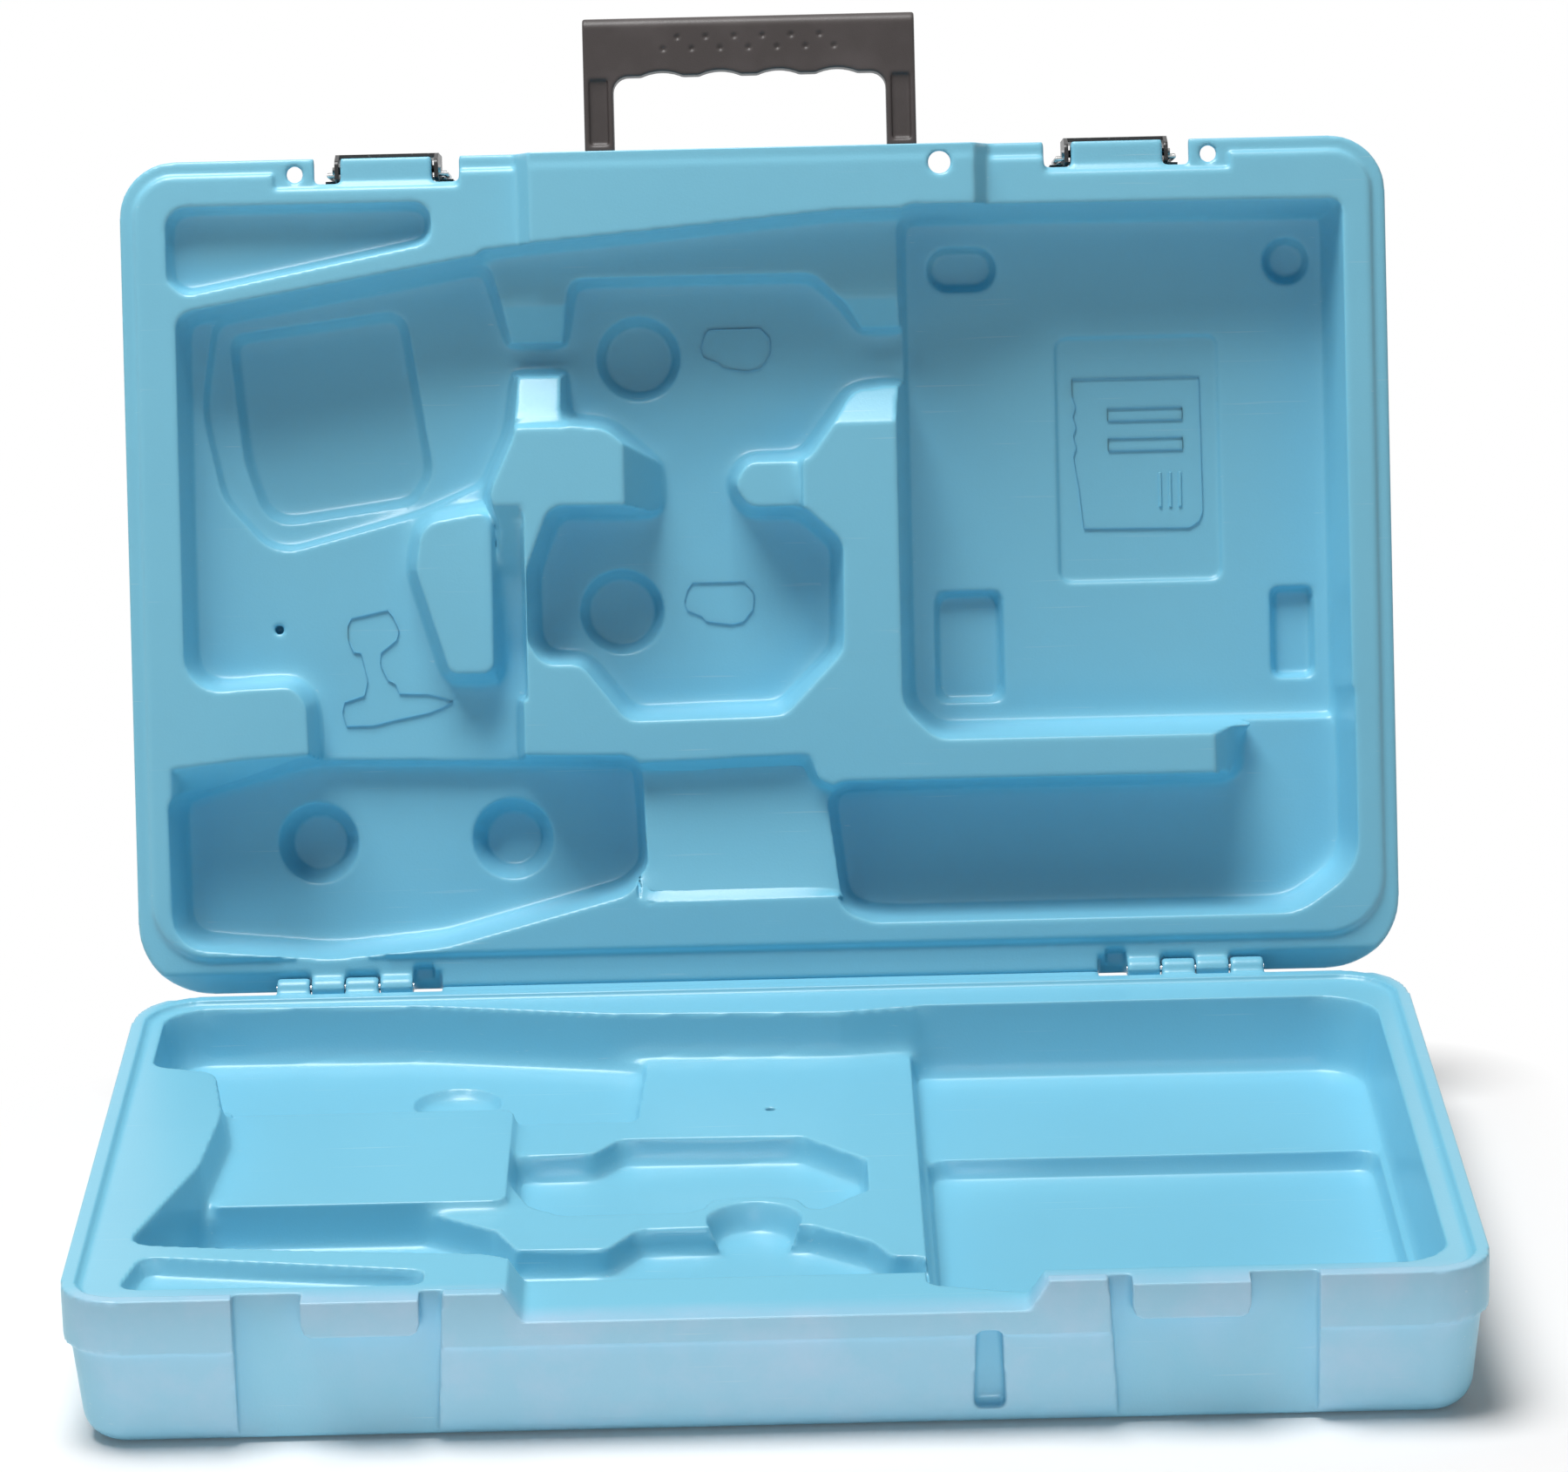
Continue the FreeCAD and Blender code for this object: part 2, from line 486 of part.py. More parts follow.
lid_pockets += [
    floor_recess("charger_oval", 69, 97, 39, 57, 8.9, "lid_small_hollow"),
    floor_recess("charger_foot_left", 69, 97, 177, 222, 4, "lid_small_hollow"),
    floor_recess("charger_foot_right", 204, 222, 178, 215, 4, "lid_small_hollow"),
    floor_recess("booklet_panel", 119.5, 185.5, 76, 175, 5, "panel_depth"),
    cylinder("lid_vent", "sizes.vent_radius", "sizes.vent_depth",
             plan(-193, 186) + (LAND + size("lid_tool") - 1,)),
    prism("peninsula_ramp", [[
        (plan(-53.4, 0)[0], LAND), (plan(-37.4, 0)[0], LAND + size("lid_battery")),
        (plan(-30, 0)[0], LAND + size("lid_battery")), (plan(-30, 0)[0], LAND - 12),
        (plan(-53.4, 0)[0], LAND - 12)]],
        "-sizes.case_depth / 2 + 112 * sizes.case_depth / 330", "38 * sizes.case_depth / 330", along="y"),
]
lid_pad = prism("lid_pad", [[plan(*c[:2]) + tuple(c[2:]) for c in (
    (-134, 145, 9), (-106.5, 140.5, 5), (-107, 205, 4), (-124, 205, 4), (-137, 163, 12))]],
    "sizes.base_height - sizes.lip_height + sizes.parting_gap + sizes.lid_pad",
    "sizes.lid_battery - sizes.lid_pad + sizes.cut_over", radius=5, taper="sizes.pad_draft")


def lid_notch(side, sign):
    x = size("latch_x")
    inner = x - size("recess_inner")
    notch = x + size("notch_outer")
    outer = x + size("recess_outer")
    shelf = FLANGE + size("flange_thick")
    loop = [(inner, dip_z - 5), (notch, dip_z - 5), (notch, shelf), (outer, shelf), (outer, TOP + 5),
            (inner, TOP + 5)]
    return prism("lid_notch_" + side, [mirrored(loop, sign)], "-sizes.case_depth / 2 - sizes.cut_over",
                 "sizes.latch_recess + sizes.cut_over", along="y")


def land_notch(side, sign):
    """The land stops short of the latch recess."""
    inner = size("latch_x") - size("recess_inner")
    outer = size("latch_x") + size("recess_outer")
    loop = [(inner, LAND - 1), (outer, LAND - 1), (outer, FLANGE), (inner, FLANGE)]
    return prism("land_notch_" + side, [mirrored(loop, sign)], "-sizes.case_depth / 2 - sizes.cut_over",
                 "sizes.land_setback + sizes.cut_over", along="y")


def tab_hole(side, sign):
    x = sign * (size("latch_x") + size("tab_hole_x"))
    return cylinder("tab_hole_" + side, "sizes.tab_hole_radius", "sizes.flange_thick + 6",
                    (x, FRONT + size("tab_hole_in"), FLANGE - 5))


def lid_lug(side, sign):
    x = sign * size("latch_x")
    half = size("lid_lug_width") / 2
    low = FLANGE + size("lid_lug_rise")
    high = low + size("lid_lug_height")
    loop = [(x - half, low), (x + half, low), (x + half, high, 3), (x - half, high, 3)]
    return prism("lid_lug_" + side, [loop], "-sizes.case_depth / 2", "sizes.latch_recess + sizes.cut_over",
                 along="y")


LATCH_Y = FRONT + size("latch_recess") - size("latch_pin_out")
LATCH_Z = FLANGE + size("latch_pin_rise")


def lug_bore(side, sign):
    length = size("lid_lug_width") + 4
    return cylinder("lug_bore_" + side, "sizes.latch_pin_radius + sizes.pin_gap", "sizes.lid_lug_width + 4",
                    (sign * size("latch_x") - length / 2, LATCH_Y, LATCH_Z), "x")


def pin_slot(side, sign):
    near = BACK - RELIEF - 2
    loop = [(near, FLANGE - 4), (BACK + 3, FLANGE - 4), (BACK + 3, FLANGE + 5), (near, FLANGE + 5)]
    inner = "(sizes.case_width / 2 - sizes.hinge_inset - 4 * sizes.knuckle_pitch)"
    start = "-" + inner if sign < 0 else inner + " - sizes.pin_slot_width"
    return prism("pin_slot_" + side, [loop], start, "sizes.pin_slot_width", along="x")


leg_out = size("handle_width") / 2
leg_in = leg_out - size("leg_width")
clear = size("handle_gap")
corner = size("handle_corner")
PIVOT_Y = FRONT + size("handle_pivot_in")
PIVOT_Z = size("handle_pivot_z")
half_thick = size("handle_thick") / 2
grip_end = FRONT - size("handle_reach")
fold_low = PIVOT_Z + (PIVOT_Y - grip_end) - size("grip_depth")
slot_low = PIVOT_Z - half_thick - 0.3
handle_slot = prism("handle_slot", [[
    (leg_in - clear, slot_low), (leg_out + clear, slot_low), (leg_out + clear, TOP + 5),
    (-leg_out - clear, TOP + 5), (-leg_out - clear, slot_low), (-leg_in + clear, slot_low),
    (-leg_in + clear, fold_low - 2, corner), (leg_in - clear, fold_low - 2, corner)]],
    "-sizes.case_depth / 2 - sizes.cut_over",
    "sizes.handle_pivot_in + sizes.handle_thick / 2 + sizes.handle_gap + sizes.cut_over", along="y")
trunnion_bore = cylinder("trunnion_bore", "sizes.trunnion_radius + sizes.pin_gap",
                         "sizes.handle_width - 2 * sizes.leg_width + 2 * sizes.handle_gap",
                         (-leg_in - clear, PIVOT_Y, PIVOT_Z), "x")
padlock_lid_hole = cylinder("padlock_lid_hole", "sizes.padlock_radius", "sizes.flange_thick + 6",
                            (padlock_x, FRONT + size("padlock_in"), dip_z - 2))
pw = size("padlock_relief")
relief_low = dip_z + lift + size("flange_thick")
padlock_relief = prism("padlock_relief_cut", [[
    (padlock_x - pw, relief_low), (padlock_x + pw, relief_low), (padlock_x + pw, TOP + 5),
    (padlock_x - pw, TOP + 5)]], "-sizes.case_depth / 2 - sizes.cut_over",
    "sizes.padlock_deep + sizes.cut_over", along="y", radius=2)

lid_raw = cut("lid_raw", fuse("lid_block", [lid_band, lid_upper_round, lid_land, tongue]),
              lid_pockets + [tongue_band, relief("lid", 1), handle_slot, padlock_lid_hole, padlock_relief]
              + both(lid_notch) + both(land_notch) + both(tab_hole) + both(pin_slot))
lid_full = fuse("lid_full", [lid_raw, lid_pad] + both(lid_lug) + stops("lid", 1) + knuckles("lid", 1, 1))
lid_shell = cut("lid_shell", lid_full, pin_bores("lid") + both(lug_bore) + [trunnion_bore])

# Hinge pins
hinge_pins = [
    cylinder("hinge_pin_" + side, "sizes.hinge_pin_radius", "4 * sizes.knuckle_pitch",
             (x0, HINGE_Y, HINGE_Z), "x")
    for side, x0 in (("left", -HINGE_OUT - 0.2), ("right", HINGE_OUT + 0.2 - 4 * size("knuckle_pitch")))]

# Handle: grip with finger scallops, two legs with a sunk panel, inward trunnions
handle_plate = prism("handle_plate", [[
    (-leg_out, grip_end), (leg_out, grip_end), (leg_out, PIVOT_Y), (leg_in, PIVOT_Y),
    (leg_in, grip_end + size("grip_depth"), corner), (-leg_in, grip_end + size("grip_depth"), corner),
    (-leg_in, PIVOT_Y), (-leg_out, PIVOT_Y)]],
    "sizes.handle_pivot_z - sizes.handle_thick / 2", "sizes.handle_thick")
grip_edges = []
for number, edge in enumerate(handle_plate.Shape.Edges, start=1):
    box = edge.BoundBox
    if abs(box.YMax - grip_end) < 1e-4 and box.XLength > 1:
        grip_edges.append((number, size("grip_round"), size("grip_round")))
handle_soft = doc.addObject("Part::Fillet", "handle_soft")
handle_soft.Base = handle_plate
handle_soft.Edges = grip_edges
doc.recompute()
scallops = []
for i in range(4):
    centre = grip_end + size("grip_depth") - size("scallop_depth") + size("scallop_radius")
    scallops.append(cylinder("scallop_%d" % i, "sizes.scallop_radius", "sizes.handle_thick + 2",
                             ((i - 1.5) * size("scallop_pitch"), centre, PIVOT_Z - half_thick - 1)))
scallop_bar = fuse("scallop_bar", scallops)
scallop_limit = doc.addObject("Part::Box", "scallop_limit")
scallop_limit.setExpression("Length", "4 * sizes.scallop_pitch")
scallop_limit.setExpression("Width", "sizes.scallop_depth + 4")
scallop_limit.setExpression("Height", "sizes.handle_thick + 4")
scallop_low = grip_end + size("grip_depth") - size("scallop_depth")
scallop_limit.Placement.Base = Vector(-2 * size("scallop_pitch"), scallop_low - 1, PIVOT_Z - half_thick - 2)
scallop_cut = doc.addObject("Part::Common", "scallop_cut")
scallop_cut.Base = scallop_bar
scallop_cut.Tool = scallop_limit


def leg_panel(side, sign):
    mid = sign * (leg_out - size("leg_width") / 2)
    near = grip_end + size("grip_depth") + 1
    loop = [(mid - 3.8, near), (mid + 3.8, near), (mid + 3.8, FRONT - 2), (mid - 3.8, FRONT - 2)]
    return prism("leg_panel_" + side, [loop], "sizes.handle_pivot_z - sizes.handle_thick / 2",
                 "sizes.leg_panel", back="sizes.cut_over", radius=1)


eyes = [cylinder("leg_eye_" + side, "sizes.handle_thick / 2", "sizes.leg_width", (x0, PIVOT_Y, PIVOT_Z), "x")
        for side, x0 in (("left", -leg_out), ("right", leg_in))]
trunnions = [cylinder("trunnion_" + side, "sizes.trunnion_radius", "sizes.trunnion_length + 2",
                      (x0, PIVOT_Y, PIVOT_Z), "x")
             for side, x0 in (("left", -leg_in - 2), ("right", leg_in - size("trunnion_length")))]
handle_cut = cut("handle_cut", handle_soft, [scallop_cut] + both(leg_panel))
handle = fuse("handle", [handle_cut] + eyes + trunnions)

# Latches: pressed lever with two cheeks, pivot pin, wire bail
FLOOR_Y = FRONT + size("latch_recess")
cheek_in = size("lid_lug_width") / 2 + size("lever_play")
cheek_out = cheek_in + size("lever_sheet")
plate_in = size("latch_recess") + size("lever_cover")
plate_out = plate_in + size("lever_sheet")
lever_low = LATCH_Z + size("lever_start")
lever_high = LATCH_Z + size("lever_end")
bail_z = LATCH_Z + size("bail_rise")
bail_x = cheek_out + size("bail_side") + size("bail_wire")
lug_low = size("base_height") - size("base_lug_top") - size("base_lug_height")
hook_z = lug_low - size("bail_hook_gap") - size("bail_wire")
bail_length = math.hypot(bail_z - hook_z, size("bail_hook_out") - size("bail_out"))


def lever(side, sign):
    x = sign * size("latch_x")
    out = size("latch_pin_out")
    cheek = [(FLOOR_Y - out + 3.4, LATCH_Z - 3), (FLOOR_Y - out - 3.4, LATCH_Z - 3, 2.5),
             (FLOOR_Y - plate_out, lever_low, 2), (FLOOR_Y - plate_out, lever_high), (FLOOR_Y - 1, lever_high),
             (FLOOR_Y - 1, LATCH_Z + 4, 3)]
    middle = "%ssizes.latch_x" % ("-" if sign < 0 else "")
    half = "(sizes.lid_lug_width / 2 + sizes.lever_play"
    cheeks = [prism("cheek_a_" + side, [cheek], "%s - %s + sizes.lever_sheet)" % (middle, half),
                    "sizes.lever_sheet", along="x"),
              prism("cheek_b_" + side, [cheek], "%s + %s)" % (middle, half), "sizes.lever_sheet", along="x")]
    plate = prism("plate_" + side, [[(x - cheek_out, lever_low), (x + cheek_out, lever_low),
                                     (x + cheek_out, lever_high), (x - cheek_out, lever_high)]],
                  "-sizes.case_depth / 2 - sizes.lever_cover - sizes.lever_sheet", "sizes.lever_sheet",
                  along="y")
    feet = []
    for s in (-1, 1):
        inner = x + s * (cheek_out - 0.5)
        outer = x + s * (cheek_out + size("lever_foot"))
        loop = [(inner, lever_high - 16), (outer, lever_high - 13), (outer, lever_high, 2), (inner, lever_high)]
        feet.append(prism("foot_%s_%s" % (side, "a" if s < 0 else "b"), [loop],
                          "-sizes.case_depth / 2 + sizes.latch_recess - 2.3", "1.3", along="y"))
    body = fuse("lever_body_" + side, cheeks + [plate] + feet)
    left = x - size("base_lug_width") / 2 - 5
    bores = [cylinder("lever_bore_" + side, "sizes.latch_pin_radius + sizes.pin_gap",
                      "sizes.base_lug_width + 10", (left, LATCH_Y, LATCH_Z), "x"),
             cylinder("bail_bore_" + side, "sizes.bail_wire + sizes.pin_gap",
                      "sizes.base_lug_width + 10", (left, FLOOR_Y - size("bail_out"), bail_z), "x")]
    return cut("latch_lever_" + side, body, bores)


def latch_pin(side, sign):
    half = cheek_out + 0.9
    return cylinder("latch_pin_" + side, "sizes.latch_pin_radius",
                    "sizes.lid_lug_width + 2 * sizes.lever_play + 2 * sizes.lever_sheet + 1.8",
                    (sign * size("latch_x") - half, LATCH_Y, LATCH_Z), "x")


def bail(side, sign):
    """A bent wire: one stub in each cheek, two arms and a cross bar."""
    x = sign * size("latch_x")
    stub = cheek_in + 0.05
    far = bail_z + bail_length
    bend = size("bail_bend")
    path = [(x - stub, bail_z), (x - bail_x, bail_z), (x - bail_x, far - bend), (x - bail_x + bend, far),
            (x + bail_x - bend, far), (x + bail_x, far - bend), (x + bail_x, bail_z), (x + stub, bail_z)]
    spine = doc.addObject("Sketcher::SketchObject", "bail_path_" + side)
    spine.Placement = Placement(Vector(0, FLOOR_Y - size("bail_out"), 0), PLANES["y"])
    for line in rounded(path, 0)[:-1]:
        spine.addGeometry(line, False)
    section = doc.addObject("Part::Circle", "bail_section_" + side)
    section.setExpression("Radius", "sizes.bail_wire")
    section.Placement = Placement(Vector(x - stub, FLOOR_Y - size("bail_out"), bail_z),
                                  Rotation(Vector(0, 1, 0), 90))
    doc.recompute()
    wire = doc.addObject("Part::Sweep", "latch_bail_" + side)
    wire.Sections = [section]
    wire.Spine = (spine, ["Edge%d" % (i + 1) for i in range(len(spine.Shape.Edges))])
    wire.Solid = True
    wire.Frenet = True
    wire.Transition = "Right corner"
    doc.recompute()
    return wire


levers = both(lever)
latch_pins = both(latch_pin)
bails = both(bail)

# Open the lid: everything on it turns about the hinge axis
doc.recompute()
opened = Placement(Vector(), Rotation(Vector(1, 0, 0), -size("open_angle")), Vector(0, HINGE_Y, HINGE_Z))
for piece in [lid_shell, handle] + levers + latch_pins + bails:
    piece.Placement = opened.multiply(piece.Placement)
doc.recompute()

os.makedirs("parts", exist_ok=True)
for thing in doc.Objects:
    if "Invalid" in thing.State or "Error" in thing.State:
        raise RuntimeError("%s: %s" % (thing.Label, thing.State))
for piece in [base_shell, lid_shell, handle] + hinge_pins + levers + latch_pins + bails:
    shape = piece.Shape
    if shape.isNull() or not shape.isValid() or len(shape.Solids) != 1:
        raise RuntimeError("%s is not one valid solid" % piece.Label)
    shape.exportStep("parts/%s.step" % piece.Label)
    print(piece.Label, round(shape.Volume / 1000, 2), "cm3", shape.BoundBox)
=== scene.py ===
"""Open blow-moulded tool case: softened mouldings, handle, wire latches, pocket pictograms and a plain studio."""

import json
import math

import bmesh
import bpy
import numpy as np
from mathutils import Matrix, Vector


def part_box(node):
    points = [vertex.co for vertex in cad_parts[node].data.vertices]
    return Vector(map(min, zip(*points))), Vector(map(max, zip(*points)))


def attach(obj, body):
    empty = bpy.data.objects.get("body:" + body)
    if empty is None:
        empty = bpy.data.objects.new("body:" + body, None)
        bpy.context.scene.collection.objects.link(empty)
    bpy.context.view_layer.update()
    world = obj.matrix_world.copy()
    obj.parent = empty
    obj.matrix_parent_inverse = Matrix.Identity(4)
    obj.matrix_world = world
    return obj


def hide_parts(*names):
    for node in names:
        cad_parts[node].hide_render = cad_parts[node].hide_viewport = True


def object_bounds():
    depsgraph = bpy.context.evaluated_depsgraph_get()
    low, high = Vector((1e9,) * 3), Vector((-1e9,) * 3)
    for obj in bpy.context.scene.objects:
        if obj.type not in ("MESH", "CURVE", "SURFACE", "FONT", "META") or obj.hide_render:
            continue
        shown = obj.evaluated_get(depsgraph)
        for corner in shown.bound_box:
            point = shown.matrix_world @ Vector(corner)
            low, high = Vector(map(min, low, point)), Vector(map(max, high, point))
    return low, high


bl_info = {
    "name": "Tool Case",
    "version": (1, 0, 0),
    "blender": (4, 5, 0),
    "location": "3D View > Sidebar > Tool Case",
    "description": "Dresses the tool case's solids as moulded polyethylene, black plastic and plated wire",
    "category": "Object",
}

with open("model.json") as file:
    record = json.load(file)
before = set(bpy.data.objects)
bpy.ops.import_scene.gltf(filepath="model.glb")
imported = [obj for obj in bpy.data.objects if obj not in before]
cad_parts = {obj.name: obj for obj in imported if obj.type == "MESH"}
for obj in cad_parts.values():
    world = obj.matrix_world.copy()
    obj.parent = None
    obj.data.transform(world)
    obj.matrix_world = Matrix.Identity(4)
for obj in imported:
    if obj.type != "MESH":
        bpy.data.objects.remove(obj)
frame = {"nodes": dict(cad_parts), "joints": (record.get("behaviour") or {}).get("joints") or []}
CAD_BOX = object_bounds()

# The lid is drawn closed and turned open about its hinge, as the solids are.
HINGE = next(joint for joint in frame["joints"] if joint["name"] == "lid_hinge")
HINGE_AXIS = Vector(HINGE["pos_m"])
OPEN = (Matrix.Translation(HINGE_AXIS)
        @ Matrix.Rotation(math.radians(-HINGE["range_deg"][1]), 4, "X")
        @ Matrix.Translation(-HINGE_AXIS))
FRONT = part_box("base_shell")[0].y
LAND = 0.0564


class CaseMouldingSettings(bpy.types.PropertyGroup):
    voxel: bpy.props.FloatProperty(
        name="Voxel", description="Cell size that the two halves are remeshed at",
        default=0.001, unit="LENGTH", precision=5)
    passes: bpy.props.IntProperty(
        name="Softening", description="Smoothing passes that round every moulded edge", default=3)
    fillet_passes: bpy.props.IntProperty(
        name="Floor rounds", description="Filling passes that round the pockets' inner corners", default=32)
    triangles: bpy.props.IntProperty(
        name="Triangles", description="Triangles left on each half", default=195000)
    colour: bpy.props.StringProperty(
        name="Shell", description="Colour of the polyethylene, sRGB hex", default="#86CFE7")
    shade: bpy.props.StringProperty(
        name="Shell shade", description="Deeper tone of the same polyethylene", default="#7DC7E1")
    scuff: bpy.props.StringProperty(
        name="Scuffs", description="Whitened plastic on rubbed edges", default="#E2EDF3")
    # Painted front light: this rub-haze colour pales the outer front wall alone, as the light from the front does.
    rub_and_front_light: bpy.props.StringProperty(
        name="Rub marks and painted front light", description="Hazy tint on the outer walls", default="#C6D5EC")


class CaseHandleSettings(bpy.types.PropertyGroup):
    voxel: bpy.props.FloatProperty(
        name="Voxel", description="Cell size that the handle is remeshed at",
        default=0.0006, unit="LENGTH", precision=5)
    colour: bpy.props.StringProperty(
        name="Handle", description="Colour of the black plastic, sRGB hex", default="#3A3433")
    dimple_pitch: bpy.props.FloatProperty(
        name="Dimple pitch", description="Distance between two dimples of a row",
        default=0.0112, unit="LENGTH", precision=4)
    dimple_radius: bpy.props.FloatProperty(
        name="Dimple radius", description="Radius of one moulded grip dimple",
        default=0.0013, unit="LENGTH", precision=4)


class CaseLatchSettings(bpy.types.PropertyGroup):
    paint: bpy.props.StringProperty(
        name="Lever paint", description="Colour of the enamelled levers, sRGB hex", default="#1B1A1B")
    zinc: bpy.props.StringProperty(
        name="Zinc", description="Colour of the plated wire and pins, sRGB hex", default="#C9CACB")
    edge: bpy.props.FloatProperty(
        name="Sheet edge", description="Round on the pressed sheet's edges",
        default=0.00035, unit="LENGTH", precision=5)


class CasePictogramSettings(bpy.types.PropertyGroup):
    width: bpy.props.FloatProperty(
        name="Rib width", description="Width of a pictogram's raised line",
        default=0.0015, unit="LENGTH", precision=4)
    height: bpy.props.FloatProperty(
        name="Rib height", description="Height of a pictogram's raised line",
        default=0.0009, unit="LENGTH", precision=4)


class CaseStageSettings(bpy.types.PropertyGroup):
    floor: bpy.props.StringProperty(
        name="Floor", description="Colour of the pale table, sRGB hex", default="#FAFAFA")
    low_power: bpy.props.FloatProperty(
        name="Low softbox", description="Power of the strip softbox low in front", default=0.1, unit="POWER")
    top_power: bpy.props.FloatProperty(
        name="Top softbox", description="Power of the softbox overhead", default=62.0, unit="POWER")
    ambient: bpy.props.FloatProperty(
        name="Ambient", description="Strength of the even light all round", default=0.05)
    tint: bpy.props.StringProperty(
        name="Ambient tint", description="Colour of the even light all round, sRGB hex", default="#FFC4A2")
    near: bpy.props.FloatProperty(
        name="Near floor", description="Width of the table round the case that shows shade", default=0.07,
        unit="LENGTH")
    lens: bpy.props.FloatProperty(
        name="Lens", description="Focal length on a 36 mm wide sensor", default=143.67)


def linear(colour):
    """An sRGB hex colour as linear RGBA."""
    values = [int(colour[i:i + 2], 16) / 255 for i in (1, 3, 5)]
    return [v / 12.92 if v <= 0.04045 else ((v + 0.055) / 1.055) ** 2.4 for v in values] + [1.0]


def add(tree, kind, inputs=None, **settings):
    """Add a shader node with its settings; inputs hold values or the sockets that feed it."""
    item = tree.nodes.new(kind)
    for key, value in settings.items():
        setattr(item, key, value)
    for key, value in (inputs or {}).items():
        if isinstance(value, bpy.types.NodeSocket):
            tree.links.new(value, item.inputs[key])
        else:
            item.inputs[key].default_value = value
    return item


def new_material(name, **inputs):
    """A material with one shader; returns it, its tree and the shader."""
    material = bpy.data.materials.new(name)
    material.use_nodes = True
    tree = material.node_tree
    shader = tree.nodes["Principled BSDF"]
    for key, value in inputs.items():
        shader.inputs[key.replace("_", " ")].default_value = value
    return material, tree, shader


def blow_moulded_polyethylene(settings):
    """Waxy satin skin: fine mould grain, slow waves in the wall, rub haze with a painted front light on the front
    wall and whitened scuffs on edges.
    """
    material, tree, shader = new_material("blow_moulded_polyethylene", IOR=1.52)
    place = add(tree, "ShaderNodeTexCoord").outputs["Object"]
    # Tone drifts over about 120 mm.
    drift = add(tree, "ShaderNodeTexNoise", {"Vector": place, "Scale": 1 / 0.12, "Detail": 3.0})
    tone = add(tree, "ShaderNodeMix", {"Factor": drift.outputs["Fac"], 6: linear(settings.colour),
                                       7: linear(settings.shade)}, data_type="RGBA")
    # Rub haze in patches of about 35 mm on the outer front wall, with painted front light: it pales that wall alone,
    # as the light from the front does.
    axes = add(tree, "ShaderNodeSeparateXYZ", {"Vector": place})
    outer = add(tree, "ShaderNodeMapRange", {"Value": axes.outputs["Y"], "From Min": FRONT + 0.016,
                                             "From Max": FRONT + 0.004})
    patch = add(tree, "ShaderNodeTexNoise", {"Vector": place, "Scale": 1 / 0.035, "Detail": 5.0, "Roughness": 0.6})
    patches = add(tree, "ShaderNodeMapRange", {"Value": patch.outputs["Fac"], "From Min": 0.42, "From Max": 0.72,
                                               "To Min": 0.28, "To Max": 0.56})
    rub_and_front_light_mask = add(tree, "ShaderNodeMath", {0: outer.outputs[0], 1: patches.outputs[0]}, operation="MULTIPLY")
    rub_and_front_lit = add(tree, "ShaderNodeMix", {"Factor": rub_and_front_light_mask.outputs[0], 6: tone.outputs[2], 7: linear(settings.rub_and_front_light)},
                data_type="RGBA")
    # Scuffs: rubbed convex edges, broken up by marks of about 6 mm.
    edge = add(tree, "ShaderNodeMapRange", {
        "Value": add(tree, "ShaderNodeNewGeometry").outputs["Pointiness"], "From Min": 0.535, "From Max": 0.60})
    mark = add(tree, "ShaderNodeTexNoise", {"Vector": place, "Scale": 1 / 0.006, "Detail": 6.0, "Roughness": 0.7})
    marks = add(tree, "ShaderNodeMapRange", {"Value": mark.outputs["Fac"], "From Min": 0.55, "From Max": 0.68,
                                             "To Max": 0.55})
    scuff = add(tree, "ShaderNodeMath", {0: edge.outputs[0], 1: marks.outputs[0]}, operation="MULTIPLY")
    # Hairline scratches, 1.5 mm apart across and 60 mm long, drawn coarser than real so that they show.
    stretch = add(tree, "ShaderNodeMapping", {"Vector": place, "Rotation": (0.0, 0.0, 0.12),
                                              "Scale": (1 / 0.06, 1 / 0.0015, 1 / 0.0015)})
    streak = add(tree, "ShaderNodeTexNoise", {"Vector": stretch.outputs[0], "Scale": 1.0, "Detail": 2.0})
    streaks = add(tree, "ShaderNodeMapRange", {"Value": streak.outputs["Fac"], "From Min": 0.70, "From Max": 0.76,
                                               "To Max": 0.16})
    worn = add(tree, "ShaderNodeMath", {0: scuff.outputs[0], 1: streaks.outputs[0]}, operation="MAXIMUM")
    colour = add(tree, "ShaderNodeMix", {"Factor": worn.outputs[0], 6: rub_and_front_lit.outputs[2], 7: linear(settings.scuff)},
                 data_type="RGBA")
    tree.links.new(colour.outputs[2], shader.inputs["Base Color"])
    # Satin gloss that varies a little with the grain, about 0.9 mm, drawn coarser than real so that it shows.
    grain = add(tree, "ShaderNodeTexNoise", {"Vector": place, "Scale": 1 / 0.0009, "Detail": 2.0})
    gloss = add(tree, "ShaderNodeMapRange", {"Value": grain.outputs["Fac"], "To Min": 0.28, "To Max": 0.38})
    tree.links.new(gloss.outputs[0], shader.inputs["Roughness"])
    wave = add(tree, "ShaderNodeTexNoise", {"Vector": place, "Scale": 1 / 0.05, "Detail": 1.0})
    waves = add(tree, "ShaderNodeBump", {"Height": wave.outputs["Fac"], "Strength": 0.25, "Distance": 0.0012})
    relief = add(tree, "ShaderNodeBump", {"Height": grain.outputs["Fac"], "Strength": 0.14, "Distance": 0.0003,
                                          "Normal": waves.outputs[0]})
    tree.links.new(relief.outputs[0], shader.inputs["Normal"])
    return material


